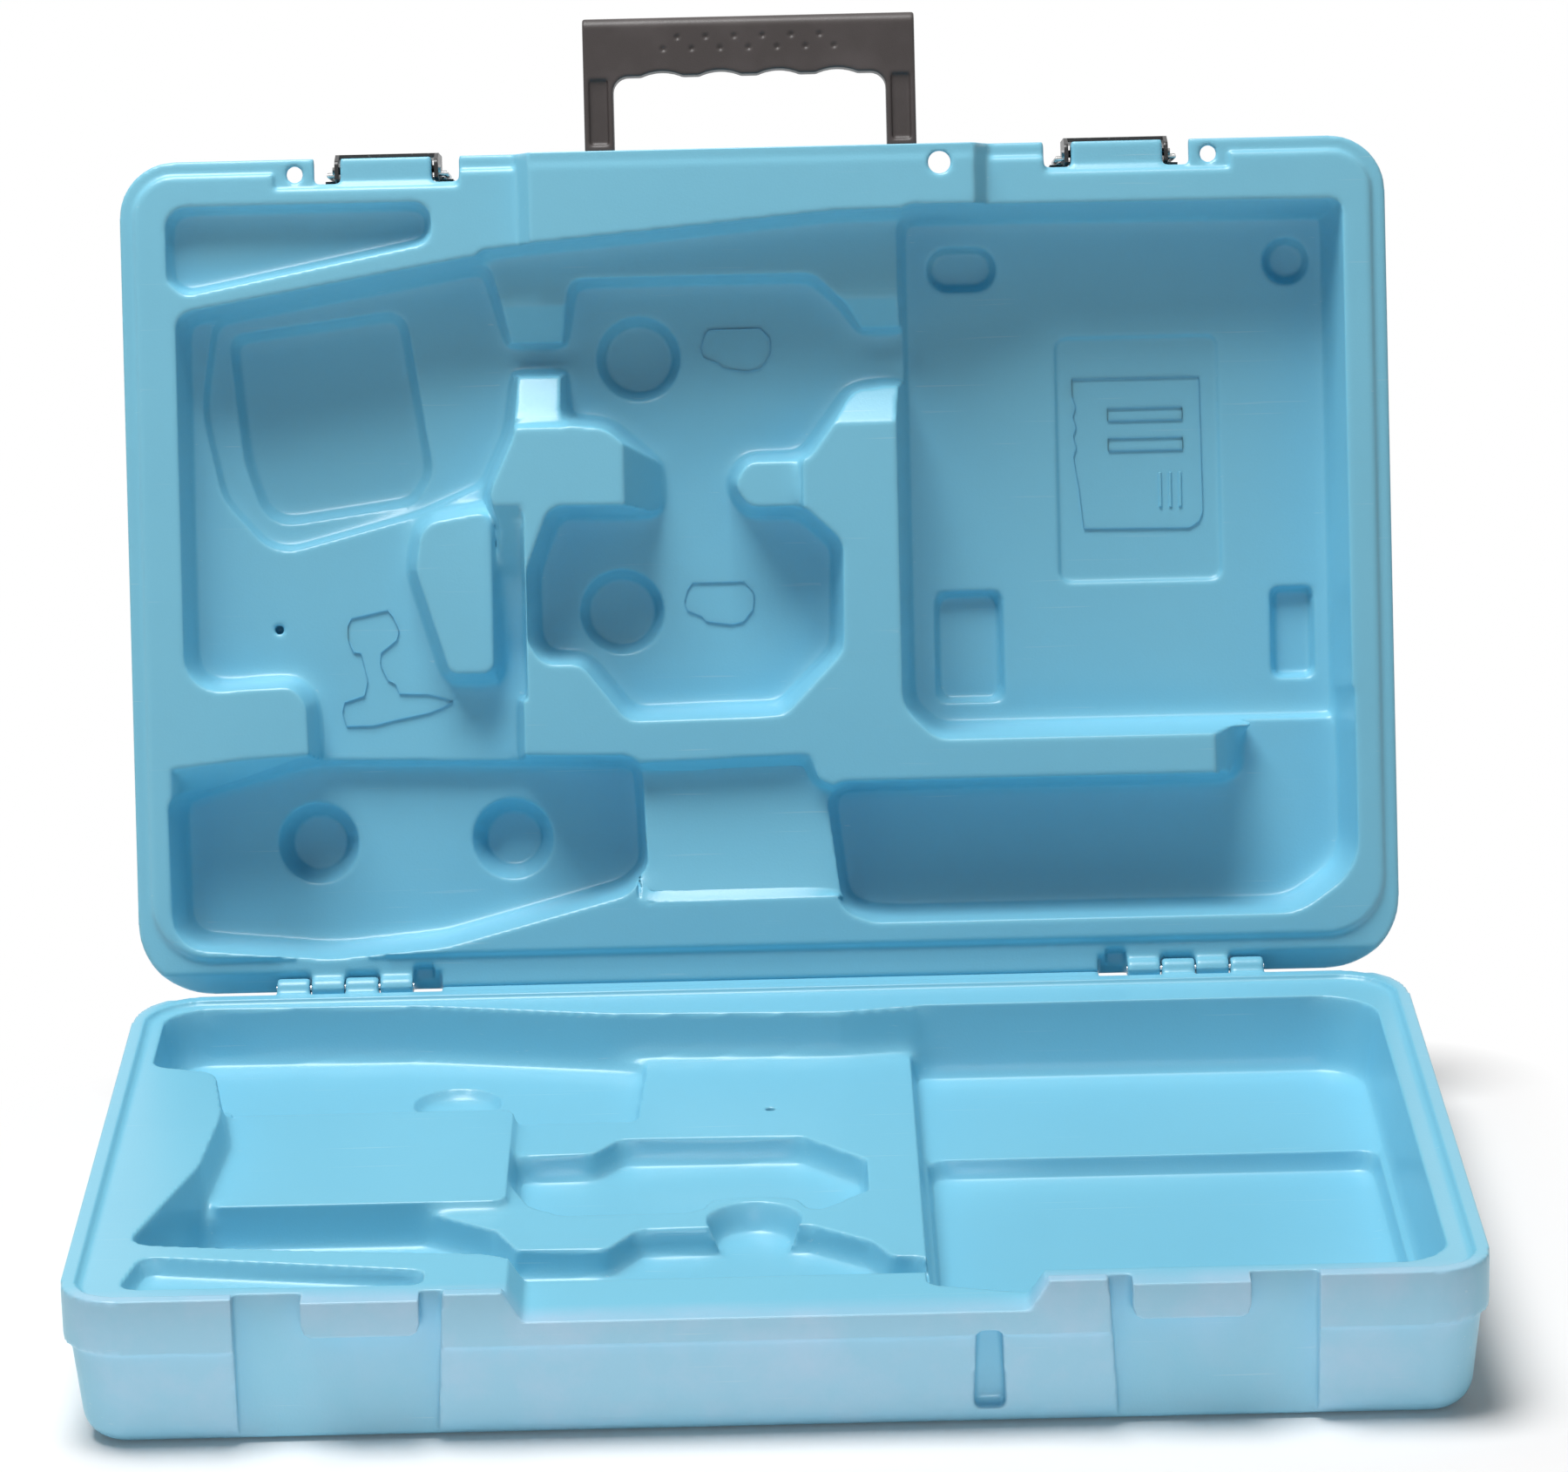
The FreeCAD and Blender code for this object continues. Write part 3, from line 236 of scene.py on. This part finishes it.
def moulded_polypropylene(settings):
    """Black injection-moulded plastic gone slightly brown and grey, with a fine spark grain and rubbed edges."""
    material, tree, shader = new_material("moulded_polypropylene", IOR=1.49)
    place = add(tree, "ShaderNodeTexCoord").outputs["Object"]
    bloom = add(tree, "ShaderNodeTexNoise", {"Vector": place, "Scale": 1 / 0.02, "Detail": 4.0})
    blooms = add(tree, "ShaderNodeMapRange", {"Value": bloom.outputs["Fac"], "From Min": 0.4, "From Max": 0.75,
                                              "To Max": 0.35})
    edge = add(tree, "ShaderNodeMapRange", {
        "Value": add(tree, "ShaderNodeNewGeometry").outputs["Pointiness"], "From Min": 0.53, "From Max": 0.62,
        "To Max": 0.35})
    worn = add(tree, "ShaderNodeMath", {0: blooms.outputs[0], 1: edge.outputs[0]}, operation="MAXIMUM")
    colour = add(tree, "ShaderNodeMix", {"Factor": worn.outputs[0], 6: linear(settings.colour),
                                         7: linear("#5B5555")}, data_type="RGBA")
    tree.links.new(colour.outputs[2], shader.inputs["Base Color"])
    # Spark grain of about 0.5 mm.
    grain = add(tree, "ShaderNodeTexNoise", {"Vector": place, "Scale": 1 / 0.0005, "Detail": 2.0})
    gloss = add(tree, "ShaderNodeMapRange", {"Value": grain.outputs["Fac"], "To Min": 0.36, "To Max": 0.52})
    tree.links.new(gloss.outputs[0], shader.inputs["Roughness"])
    relief = add(tree, "ShaderNodeBump", {"Height": grain.outputs["Fac"], "Strength": 0.2, "Distance": 0.0002})
    tree.links.new(relief.outputs[0], shader.inputs["Normal"])
    return material


def enamelled_steel(settings):
    """Pressed steel under black enamel: smooth, fairly glossy, chipped bright along its edges."""
    material, tree, shader = new_material("enamelled_steel", IOR=1.5)
    place = add(tree, "ShaderNodeTexCoord").outputs["Object"]
    edge = add(tree, "ShaderNodeMapRange", {
        "Value": add(tree, "ShaderNodeNewGeometry").outputs["Pointiness"], "From Min": 0.54, "From Max": 0.62})
    chip = add(tree, "ShaderNodeTexNoise", {"Vector": place, "Scale": 1 / 0.003, "Detail": 4.0, "Roughness": 0.7})
    chips = add(tree, "ShaderNodeMapRange", {"Value": chip.outputs["Fac"], "From Min": 0.60, "From Max": 0.66,
                                             "To Max": 0.6})
    bare = add(tree, "ShaderNodeMath", {0: edge.outputs[0], 1: chips.outputs[0]}, operation="MULTIPLY")
    colour = add(tree, "ShaderNodeMix", {"Factor": bare.outputs[0], 6: linear(settings.paint),
                                         7: linear("#8C8A88")}, data_type="RGBA")
    tree.links.new(colour.outputs[2], shader.inputs["Base Color"])
    # Orange peel of the enamel, about 1.2 mm.
    peel = add(tree, "ShaderNodeTexNoise", {"Vector": place, "Scale": 1 / 0.0012, "Detail": 1.0})
    gloss = add(tree, "ShaderNodeMapRange", {"Value": peel.outputs["Fac"], "To Min": 0.26, "To Max": 0.40})
    tree.links.new(gloss.outputs[0], shader.inputs["Roughness"])
    relief = add(tree, "ShaderNodeBump", {"Height": peel.outputs["Fac"], "Strength": 0.1, "Distance": 0.0002})
    tree.links.new(relief.outputs[0], shader.inputs["Normal"])
    return material


def zinc_plated_steel(settings):
    """Drawn wire with a thin zinc plate: bright, slightly dulled in spots, with fine draw lines."""
    material, tree, shader = new_material("zinc_plated_steel", Metallic=1.0)
    place = add(tree, "ShaderNodeTexCoord").outputs["Object"]
    spot = add(tree, "ShaderNodeTexNoise", {"Vector": place, "Scale": 1 / 0.004, "Detail": 4.0})
    dull = add(tree, "ShaderNodeMapRange", {"Value": spot.outputs["Fac"], "From Min": 0.45, "From Max": 0.7})
    colour = add(tree, "ShaderNodeMix", {"Factor": dull.outputs[0], 6: linear(settings.zinc),
                                         7: linear("#9C9A95")}, data_type="RGBA")
    tree.links.new(colour.outputs[2], shader.inputs["Base Color"])
    gloss = add(tree, "ShaderNodeMapRange", {"Value": spot.outputs["Fac"], "To Min": 0.18, "To Max": 0.38})
    tree.links.new(gloss.outputs[0], shader.inputs["Roughness"])
    # Draw lines along the wire, 0.4 mm apart.
    line = add(tree, "ShaderNodeTexNoise", {"Vector": place, "Scale": 1 / 0.0004, "Detail": 1.0})
    relief = add(tree, "ShaderNodeBump", {"Height": line.outputs["Fac"], "Strength": 0.06, "Distance": 0.0001})
    tree.links.new(relief.outputs[0], shader.inputs["Normal"])
    return material


MATERIALS = {}


def material_of(maker, settings):
    """Make each material once."""
    if maker.__name__ not in MATERIALS:
        MATERIALS[maker.__name__] = maker(settings)
    return MATERIALS[maker.__name__]


def dress(piece, material, body, slot, *nodes):
    """Give a finished piece its material and its body, and hide the nodes that it stands for; the slot is not used.
    """
    piece.data.materials.clear()
    piece.data.materials.append(material)
    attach(piece, body)
    if nodes:
        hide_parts(*nodes)
    return piece


def new_piece(name, mesh):
    """A mesh as an object in the scene."""
    piece = bpy.data.objects.new(name, mesh)
    bpy.context.scene.collection.objects.link(piece)
    return piece


def from_bmesh(name, bm):
    """A bmesh as an object, with its normals outward."""
    mesh = bpy.data.meshes.new(name)
    bmesh.ops.recalc_face_normals(bm, faces=bm.faces)
    bm.to_mesh(mesh)
    bm.free()
    return new_piece(name, mesh)


def merged_copy(node):
    """A node's mesh as one joined bmesh."""
    bm = bmesh.new()
    bm.from_mesh(frame["nodes"][node].data)
    bmesh.ops.remove_doubles(bm, verts=bm.verts, dist=1e-6)
    return bm


def baked(piece):
    """Apply a piece's modifiers and shade it smooth."""
    graph = bpy.context.evaluated_depsgraph_get()
    mesh = bpy.data.meshes.new_from_object(piece.evaluated_get(graph))
    old = piece.data
    piece.modifiers.clear()
    piece.data = mesh
    bpy.data.meshes.remove(old)
    mesh.name = piece.name
    for polygon in mesh.polygons:
        polygon.use_smooth = True
    return piece


def fill_corners(mesh, inside, passes):
    """Round the inner corners of a moulding, as the blown skin does, and leave its outer edges crisp.

    Each pass moves a point out along its normal where its neighbours lie further out."""
    count = len(mesh.vertices)
    spots = np.empty(count * 3, dtype=np.float32)
    mesh.vertices.foreach_get("co", spots)
    spots = spots.reshape(count, 3).astype(np.float64)
    ends = np.empty(len(mesh.edges) * 2, dtype=np.int32)
    mesh.edges.foreach_get("vertices", ends)
    ends = ends.reshape(-1, 2)
    ends = ends[inside(spots)[ends].any(axis=1)]
    used, ends = np.unique(ends, return_inverse=True)
    ends = ends.reshape(-1, 2)
    free = inside(spots[used])
    tails = np.concatenate([ends[:, 0], ends[:, 1]])
    heads = np.concatenate([ends[:, 1], ends[:, 0]])
    shares = np.maximum(np.bincount(tails, minlength=len(used)), 1)
    normals = np.empty(count * 3, dtype=np.float32)
    for step in range(passes):
        if step % 10 == 0:
            mesh.vertices.foreach_set("co", spots.ravel())
            mesh.update()
            mesh.vertices.foreach_get("normal", normals)
            outward = normals.reshape(count, 3)[used].astype(np.float64)
        here = spots[used]
        mean = np.stack([np.bincount(tails, here[heads, axis], len(used)) for axis in range(3)], axis=1)
        rise = ((mean / shares[:, None] - here) * outward).sum(axis=1)
        spots[used] = here + outward * np.where(free, np.maximum(rise, 0), 0)[:, None]
    mesh.vertices.foreach_set("co", spots.ravel())
    mesh.update()


def softened(name, node, voxel, passes, triangles, turn, *fillets):
    """Remesh a copy of a node evenly, smooth its edges round, fill its inner corners and thin it out."""
    bm = merged_copy(node)
    if turn:
        bmesh.ops.transform(bm, matrix=turn.inverted(), verts=bm.verts)
    piece = from_bmesh(name, bm)
    remesh = piece.modifiers.new("Remesh", "REMESH")
    remesh.mode = "VOXEL"
    remesh.voxel_size = voxel
    smooth = piece.modifiers.new("Smooth", "SMOOTH")
    smooth.factor = 0.5
    smooth.iterations = passes
    baked(piece)
    for inside, fillet_passes in fillets:
        fill_corners(piece.data, inside, fillet_passes)
    count = sum(len(p.vertices) - 2 for p in piece.data.polygons)
    if count > triangles:
        thin = piece.modifiers.new("Decimate", "DECIMATE")
        thin.ratio = triangles / count
        baked(piece)
    if turn:
        piece.data.transform(turn)
    return piece


# Vent holes that the filling keeps clear of: across and from the front edge, metres.
BASE_VENT, LID_VENT = (-0.001, 0.235), (-0.193, 0.186)
VENT_MARGIN = 0.005
# The booklet panel, kept crisp: centre and half size as above, and the depth where it begins.
PANEL_CENTRE, PANEL_HALF, PANEL_DEPTH = (0.1525, 0.1255), (0.038, 0.0545), 0.036
# The saddle: centre and half width across, start and length from the front edge, depth, and how far its floor tips.
SADDLE_X, SADDLE_HALF, SADDLE_START, SADDLE_LENGTH, SADDLE_DEPTH = -0.010, 0.041, 0.240, 0.057, 0.0125
SADDLE_LEAN = 0.6
# The end of the base's rim dip, left open for the lid's tongue: centre, half width, reach from the front, height.
DIP_X, DIP_HALF, DIP_REACH, DIP_HEIGHT = -0.080, 0.016, 0.05, 0.038
# Finger hollows and foot recesses of the lid, kept crisp: centre across, from the front edge, half sizes, mm.
HOLLOWS = [(-47, 81, 19, 19), (-56, 182, 19, 19), (-180, 272, 18, 18), (-102, 272, 18, 18), (213, 48, 11, 11),
           (83, 48, 16, 11), (83, 199.5, 16, 24.5), (213, 196.5, 11, 20.5)]


class CASE_OT_mouldings(bpy.types.Operator):
    """Make the base and the lid as soft-edged mouldings"""
    bl_idname = "case.mouldings"
    bl_label = "Base and Lid"

    def execute(self, context):
        settings = context.scene.case_moulding
        voxel = settings.voxel * 1
        material = material_of(blow_moulded_polyethylene, settings)
        fillets = settings.fillet_passes // 1
        base = softened("base_moulding", "base_shell", voxel, settings.passes, settings.triangles, None,
                        (self.in_base, fillets))
        dress(base, material, "base", "shell", "base_shell")
        lid = softened("lid_moulding", "lid_shell", voxel, settings.passes, settings.triangles, OPEN,
                       (self.in_lid, fillets), (self.in_saddle, fillets * 6))
        self.lean_saddle(lid)
        dress(lid, material, "lid", "shell", "lid_shell")
        return {"FINISHED"}

    def in_plan(self, spots, vent):
        """Points within the walls and clear of the vent hole."""
        x, y = spots[:, 0], spots[:, 1]
        clear = np.hypot(x - vent[0], y - FRONT - vent[1]) > VENT_MARGIN
        return (np.abs(x) < 0.243) & (y > FRONT + 0.017) & (y < -FRONT - 0.009) & clear

    def in_base(self, spots):
        """Points of the base's pockets whose corners are filled."""
        x, y, z = spots.T
        dip = (np.abs(x - DIP_X) < DIP_HALF) & (y < FRONT + DIP_REACH) & (z > DIP_HEIGHT)
        return self.in_plan(spots, BASE_VENT) & (z > 0.008) & (z < 0.054) & ~dip

    def in_lid(self, spots):
        """Points of the lid's pockets whose corners are filled."""
        x, y, z = spots.T
        panel = ((np.abs(x - PANEL_CENTRE[0]) < PANEL_HALF[0]) & (z > LAND + PANEL_DEPTH)
                 & (np.abs(y - FRONT - PANEL_CENTRE[1]) < PANEL_HALF[1]))
        free = self.in_plan(spots, LID_VENT) & (z > LAND + 0.003) & (z < 0.108) & ~panel
        for across, deep, half_x, half_y in HOLLOWS:
            free &= np.hypot((x - across / 1e3) / half_x, (y - FRONT - deep / 1e3) / half_y) > 1 / 1e3
        return free

    def in_saddle(self, spots):
        """Points of the lid's saddle, which is rounded more."""
        x, y, z = spots.T
        along, depth = (y - FRONT - SADDLE_START) / SADDLE_LENGTH, z - LAND
        return (np.abs(x - SADDLE_X) < SADDLE_HALF) & (along > 0) & (along < 1) & (depth > 0) & (depth < SADDLE_DEPTH)

    def lean_saddle(self, lid):
        """Tip the saddle's floor so that it runs out towards the hinge side."""
        closed = OPEN.inverted()
        for vertex in lid.data.vertices:
            place = closed @ vertex.co
            along, depth = (place.y - FRONT - SADDLE_START) / SADDLE_LENGTH, place.z - LAND
            if abs(place.x - SADDLE_X) < SADDLE_HALF and 0 < along < 1 and 0 < depth < SADDLE_DEPTH:
                place.z = LAND + depth * (1 - SADDLE_LEAN * along)
                vertex.co = OPEN @ place


class CASE_OT_handle(bpy.types.Operator):
    """Make the carrying handle with its grip dimples"""
    bl_idname = "case.handle"
    bl_label = "Handle"

    def execute(self, context):
        settings = context.scene.case_handle
        material = material_of(moulded_polypropylene, settings)
        voxel = settings.voxel * 1
        handle = softened("carry_handle", "handle", voxel, 3, 150000, OPEN)
        self.press_dimples(handle, settings)
        dress(handle, material, "handle", "black_plastic", "handle")
        return {"FINISHED"}

    def press_dimples(self, handle, settings):
        """Two staggered rows of dents in the face that the fingers meet."""
        grip = OPEN.inverted()
        centres = []
        for row, count in ((-0.2090, 6), (-0.2044, 7)):
            for step in range(count):
                centres.append(Vector(((step - (count - 1) / 2) * settings.dimple_pitch, row)))
        inward = OPEN.to_3x3() @ Vector((0, 0, 1))
        for vertex in handle.data.vertices:
            place = grip @ vertex.co
            if place.z > 0.0515 or place.y > -0.195:
                continue
            near = min((place.xy - centre).length for centre in centres) / settings.dimple_radius
            if near < 1:
                vertex.co += inward * settings.dimple_radius * 0.6 * (1 - near * near)


class CASE_OT_latches(bpy.types.Operator):
    """Make the latch levers, their pins and the wire bails"""
    bl_idname = "case.latches"
    bl_label = "Latches"

    def execute(self, context):
        settings = context.scene.case_latch
        paint = material_of(enamelled_steel, settings)
        zinc = material_of(zinc_plated_steel, settings)
        for side in ("left", "right"):
            bm = merged_copy("latch_lever_" + side)
            bmesh.ops.dissolve_limit(bm, angle_limit=math.radians(1), verts=bm.verts, edges=bm.edges)
            sharp = [e for e in bm.edges if len(e.link_faces) == 2 and e.calc_face_angle() > math.radians(40)]
            bmesh.ops.bevel(bm, geom=sharp, offset=settings.edge, affect="EDGES", segments=2, profile=0.5,
                            material=-1, clamp_overlap=True)
            lever = from_bmesh("lever_%s" % side, bm)
            dress(lever, paint, "lever_" + side, "black_steel", "latch_lever_" + side)
            for node, body in (("latch_pin_", "lid"), ("latch_bail_", "bail_" + side), ("hinge_pin_", "base")):
                wire = from_bmesh("wire_" + node + side, merged_copy(node + side))
                for polygon in wire.data.polygons:
                    polygon.use_smooth = True
                wire.data.set_sharp_from_angle(angle=math.radians(40))
                dress(wire, zinc, body, "steel", node + side)
        return {"FINISHED"}


def lid_place(x, from_front, depth):
    """A point of the closed lid: x, distance from the front edge and depth under the land, all in millimetres."""
    return Vector((x / 1000, FRONT + from_front / 1000, LAND + depth / 1000))


def raised_outline(bm, corners, depth, settings):
    """A closed raised line on a pocket floor; it stands towards the lid's mouth."""
    face = bm.faces.new([bm.verts.new(lid_place(x, v, depth + 0.3)) for x, v in corners])
    rim = bmesh.ops.inset_region(bm, faces=[face], thickness=settings.width, use_boundary=True,
                                 use_even_offset=True)["faces"]
    bmesh.ops.delete(bm, geom=[face], context="FACES_ONLY")
    raise_faces(bm, rim, settings.height)


def raise_faces(bm, faces, height):
    """Extrude faces towards the lid's mouth, with a soft top edge."""
    top = bmesh.ops.extrude_face_region(bm, geom=faces)["geom"]
    verts = [g for g in top if isinstance(g, bmesh.types.BMVert)]
    bmesh.ops.translate(bm, vec=Vector((0, 0, -height - 0.0003)), verts=verts)
    edges = [g for g in top if isinstance(g, bmesh.types.BMEdge)
             and any(abs(f.normal.z) < 0.5 for f in g.link_faces)]
    bm.normal_update()
    bmesh.ops.bevel(bm, geom=edges, offset=height * 0.45, affect="EDGES", segments=2, profile=0.5, material=-1,
                    clamp_overlap=True)


def raised_bar(bm, x0, v0, x1, v1, depth, settings):
    """A short raised straight line."""
    verts = [bm.verts.new(lid_place(x, v, depth + 0.3)) for x, v in ((x0, v0), (x1, v0), (x1, v1), (x0, v1))]
    raise_faces(bm, [bm.faces.new(verts)], settings.height)


# Corners of the pictograms, millimetres across and from the lid's front edge, from each one's own corner.
BATTERY = [(0, 7.5), (1.5, 2.5), (3.5, 0), (24, 0), (28, 4.5), (27.5, 11), (23.5, 16), (18.5, 17), (8.5, 15.5),
           (7, 13.5), (1, 11)]
DRILL = [(3, 6), (4.5, 3), (19, 0), (21, 2.5), (23.5, 8), (22.5, 12), (16, 17), (15.5, 21.5), (18.5, 28),
         (21.5, 29.5), (23, 33.5), (34.5, 34), (40, 35.5), (44.5, 37), (40, 39.5), (34.5, 41.5), (21, 44), (12.5, 46),
         (1.5, 46), (0, 40.5), (1, 36.5), (9, 34), (10.5, 28), (8, 17), (5, 16.5), (3, 11.5)]
BOOKLET = [(0, 0), (51, 0), (51.5, 54), (50, 58), (46, 60.5), (3.5, 60), (2, 44), (0, 31), (1.5, 27), (0, 23),
           (1.5, 19), (0, 15), (1.5, 11), (0, 7)]


class CASE_OT_pictograms(bpy.types.Operator):
    """Raise the plain pictograms on the lid's pocket floors"""
    bl_idname = "case.pictograms"
    bl_label = "Pictograms"

    def execute(self, context):
        settings = context.scene.case_pictogram
        material = material_of(blow_moulded_polyethylene, context.scene.case_moulding)
        drawings = {
            "battery_mark_front": (BATTERY, -22, 70, 33, []),
            "battery_mark_back": (BATTERY, -31, 171, 33, []),
            "drill_mark": (DRILL, -168.6, 179, 26, []),
            "booklet_mark": (BOOKLET, 126.5, 93, 41, [
                (14, 12, 44, 17), (14, 24, 44, 29), (34, 38, 35.2, 52), (38, 38, 39.2, 52), (42, 38, 43.2, 52)]),
        }
        for name, (corners, x, v, depth, bars) in drawings.items():
            bm = bmesh.new()
            raised_outline(bm, [(x + a, v + b) for a, b in corners], depth, settings)
            for a, b, c, d in bars:
                if c - a > 5:
                    raised_outline(bm, [(x + a, v + b), (x + c, v + b), (x + c, v + d), (x + a, v + d)], depth,
                                   settings)
                else:
                    raised_bar(bm, x + a, v + b, x + c, v + d, depth, settings)
            bmesh.ops.transform(bm, matrix=OPEN, verts=bm.verts)
            dress(from_bmesh(name, bm), material, "lid", "shell")
        return {"FINISHED"}


# The camera: metres, and degrees of tilt down, turn and roll.
CAMERA_PLACE, CAMERA_ANGLES = (0.0060, -2.1842, 0.8694), (16.862, 0.04, 1.33)


class CASE_OT_stage(bpy.types.Operator):
    """Set the pale table, the soft light and the camera"""
    bl_idname = "case.stage"
    bl_label = "Studio"

    def execute(self, context):
        settings = context.scene.case_stage
        bm = bmesh.new()
        bmesh.ops.create_grid(bm, x_segments=1, y_segments=1, size=6.0)
        table = from_bmesh("table", bm)
        material, tree, shader = new_material("pale_laminate", Roughness=0.6)
        place = add(tree, "ShaderNodeTexCoord").outputs["Object"]
        fleck = add(tree, "ShaderNodeTexNoise", {"Vector": place, "Scale": 1 / 0.3, "Detail": 2.0})
        tint = add(tree, "ShaderNodeMix", {"Factor": fleck.outputs["Fac"], 6: linear(settings.floor),
                                           7: linear("#F4F4F4")}, data_type="RGBA")
        tree.links.new(tint.outputs[2], shader.inputs["Base Color"])
        # Past the near floor the table fades to plain white for the eye, and goes on lighting the case as a table.
        low, high = CAD_BOX
        sides = add(tree, "ShaderNodeVectorMath", {0: place}, operation="ABSOLUTE")
        past = add(tree, "ShaderNodeVectorMath", {0: sides.outputs[0], 1: (high.x, -low.y, 1.0)},
                   operation="SUBTRACT")
        past = add(tree, "ShaderNodeVectorMath", {0: past.outputs[0]}, operation="MAXIMUM")
        reach = add(tree, "ShaderNodeVectorMath", {0: past.outputs[0]}, operation="LENGTH")
        far = add(tree, "ShaderNodeMapRange", {"Value": reach.outputs["Value"], "From Max": settings.near})
        path = add(tree, "ShaderNodeLightPath")
        eye = add(tree, "ShaderNodeMath", {0: path.outputs["Is Camera Ray"], 1: path.outputs["Is Glossy Ray"]},
                  operation="MAXIMUM")
        eye = add(tree, "ShaderNodeMath", {0: eye.outputs[0], 1: path.outputs["Is Transmission Ray"]},
                  operation="MAXIMUM")
        share = add(tree, "ShaderNodeMath", {0: far.outputs[0], 1: eye.outputs[0]}, operation="MULTIPLY")
        glow = add(tree, "ShaderNodeEmission")
        blend = add(tree, "ShaderNodeMixShader", {0: share.outputs[0], 1: shader.outputs[0], 2: glow.outputs[0]})
        tree.links.new(blend.outputs[0], tree.nodes["Material Output"].inputs["Surface"])
        table.data.materials.append(material)
        for name, spot, aim, power, width, height, spread in (
                ("low_softbox", (0, -0.5, 0.10), (0, -0.165, 0.029), settings.low_power, 1.6, 0.05, 16),
                ("top_softbox", (-0.45, -0.12, 2.4), (0, 0.05, 0.15), settings.top_power, 1.2, 1.2, 180)):
            lamp = bpy.data.lights.new(name, "AREA")
            lamp.energy = power
            lamp.shape = "RECTANGLE"
            lamp.size = width
            lamp.size_y = height
            lamp.spread = math.radians(spread)
            holder = bpy.data.objects.new(name, lamp)
            holder.location = spot
            holder.rotation_euler = (Vector(aim) - Vector(spot)).to_track_quat("-Z", "Y").to_euler()
            context.scene.collection.objects.link(holder)
        world = bpy.data.worlds.new("even_light")
        world.use_nodes = True
        tree = world.node_tree
        tree.nodes.clear()
        path = add(tree, "ShaderNodeLightPath")
        seen = add(tree, "ShaderNodeMath", {0: path.outputs["Is Camera Ray"], 1: path.outputs["Is Glossy Ray"]},
                   operation="MAXIMUM")
        seen = add(tree, "ShaderNodeMath", {0: seen.outputs[0], 1: path.outputs["Is Transmission Ray"]},
                   operation="MAXIMUM")
        level = add(tree, "ShaderNodeMapRange", {"Value": seen.outputs[0], "To Min": settings.ambient, "To Max": 1.0})
        tint = add(tree, "ShaderNodeMix", {"Factor": seen.outputs[0], 6: linear(settings.tint),
                                           7: linear("#FFFFFF")}, data_type="RGBA")
        sky = add(tree, "ShaderNodeBackground", {"Color": tint.outputs[2], "Strength": level.outputs[0]})
        add(tree, "ShaderNodeOutputWorld", {"Surface": sky.outputs[0]})
        context.scene.world = world
        camera = bpy.data.cameras.new("front_camera")
        camera.sensor_fit = "HORIZONTAL"
        camera.sensor_width = 36.0
        camera.lens = settings.lens
        camera.clip_end = 50.0
        holder = bpy.data.objects.new("front_camera", camera)
        tilt, turn, roll = (math.radians(angle) for angle in CAMERA_ANGLES)
        aim = Matrix.Rotation(-turn, 3, "Z") @ Matrix.Rotation(math.pi / 2 - tilt, 3, "X")
        aim = aim @ Matrix.Rotation(-roll, 3, "Z")
        holder.matrix_world = Matrix.Translation(CAMERA_PLACE) @ aim.to_4x4()
        context.scene.collection.objects.link(holder)
        context.scene.camera = holder
        context.scene.view_settings.view_transform = "Standard"
        return {"FINISHED"}


OPERATORS = (CASE_OT_mouldings, CASE_OT_handle, CASE_OT_latches, CASE_OT_pictograms, CASE_OT_stage)
SETTINGS = {"case_moulding": CaseMouldingSettings, "case_handle": CaseHandleSettings,
            "case_latch": CaseLatchSettings, "case_pictogram": CasePictogramSettings,
            "case_stage": CaseStageSettings}


class CASE_PT_panel(bpy.types.Panel):
    """Lists the case's pieces and their settings"""
    bl_label = "Tool Case"
    bl_idname = "CASE_PT_panel"
    bl_space_type = "VIEW_3D"
    bl_region_type = "UI"
    bl_category = "Tool Case"

    def draw(self, context):
        for operator, name in zip(OPERATORS, SETTINGS):
            box = self.layout.box()
            box.operator(operator.bl_idname)
            settings = getattr(context.scene, name)
            for key in SETTINGS[name].__annotations__:
                box.prop(settings, key)


def register():
    for item in (*SETTINGS.values(), *OPERATORS, CASE_PT_panel):
        bpy.utils.register_class(item)
    for name, group in SETTINGS.items():
        setattr(bpy.types.Scene, name, bpy.props.PointerProperty(type=group))


def unregister():
    for name in SETTINGS:
        delattr(bpy.types.Scene, name)
    for item in reversed((*SETTINGS.values(), *OPERATORS, CASE_PT_panel)):
        bpy.utils.unregister_class(item)


def main():
    register()
    bpy.ops.case.mouldings()
    bpy.ops.case.handle()
    bpy.ops.case.latches()
    bpy.ops.case.pictograms()
    bpy.ops.case.stage()


if __name__ == "__main__":
    main()
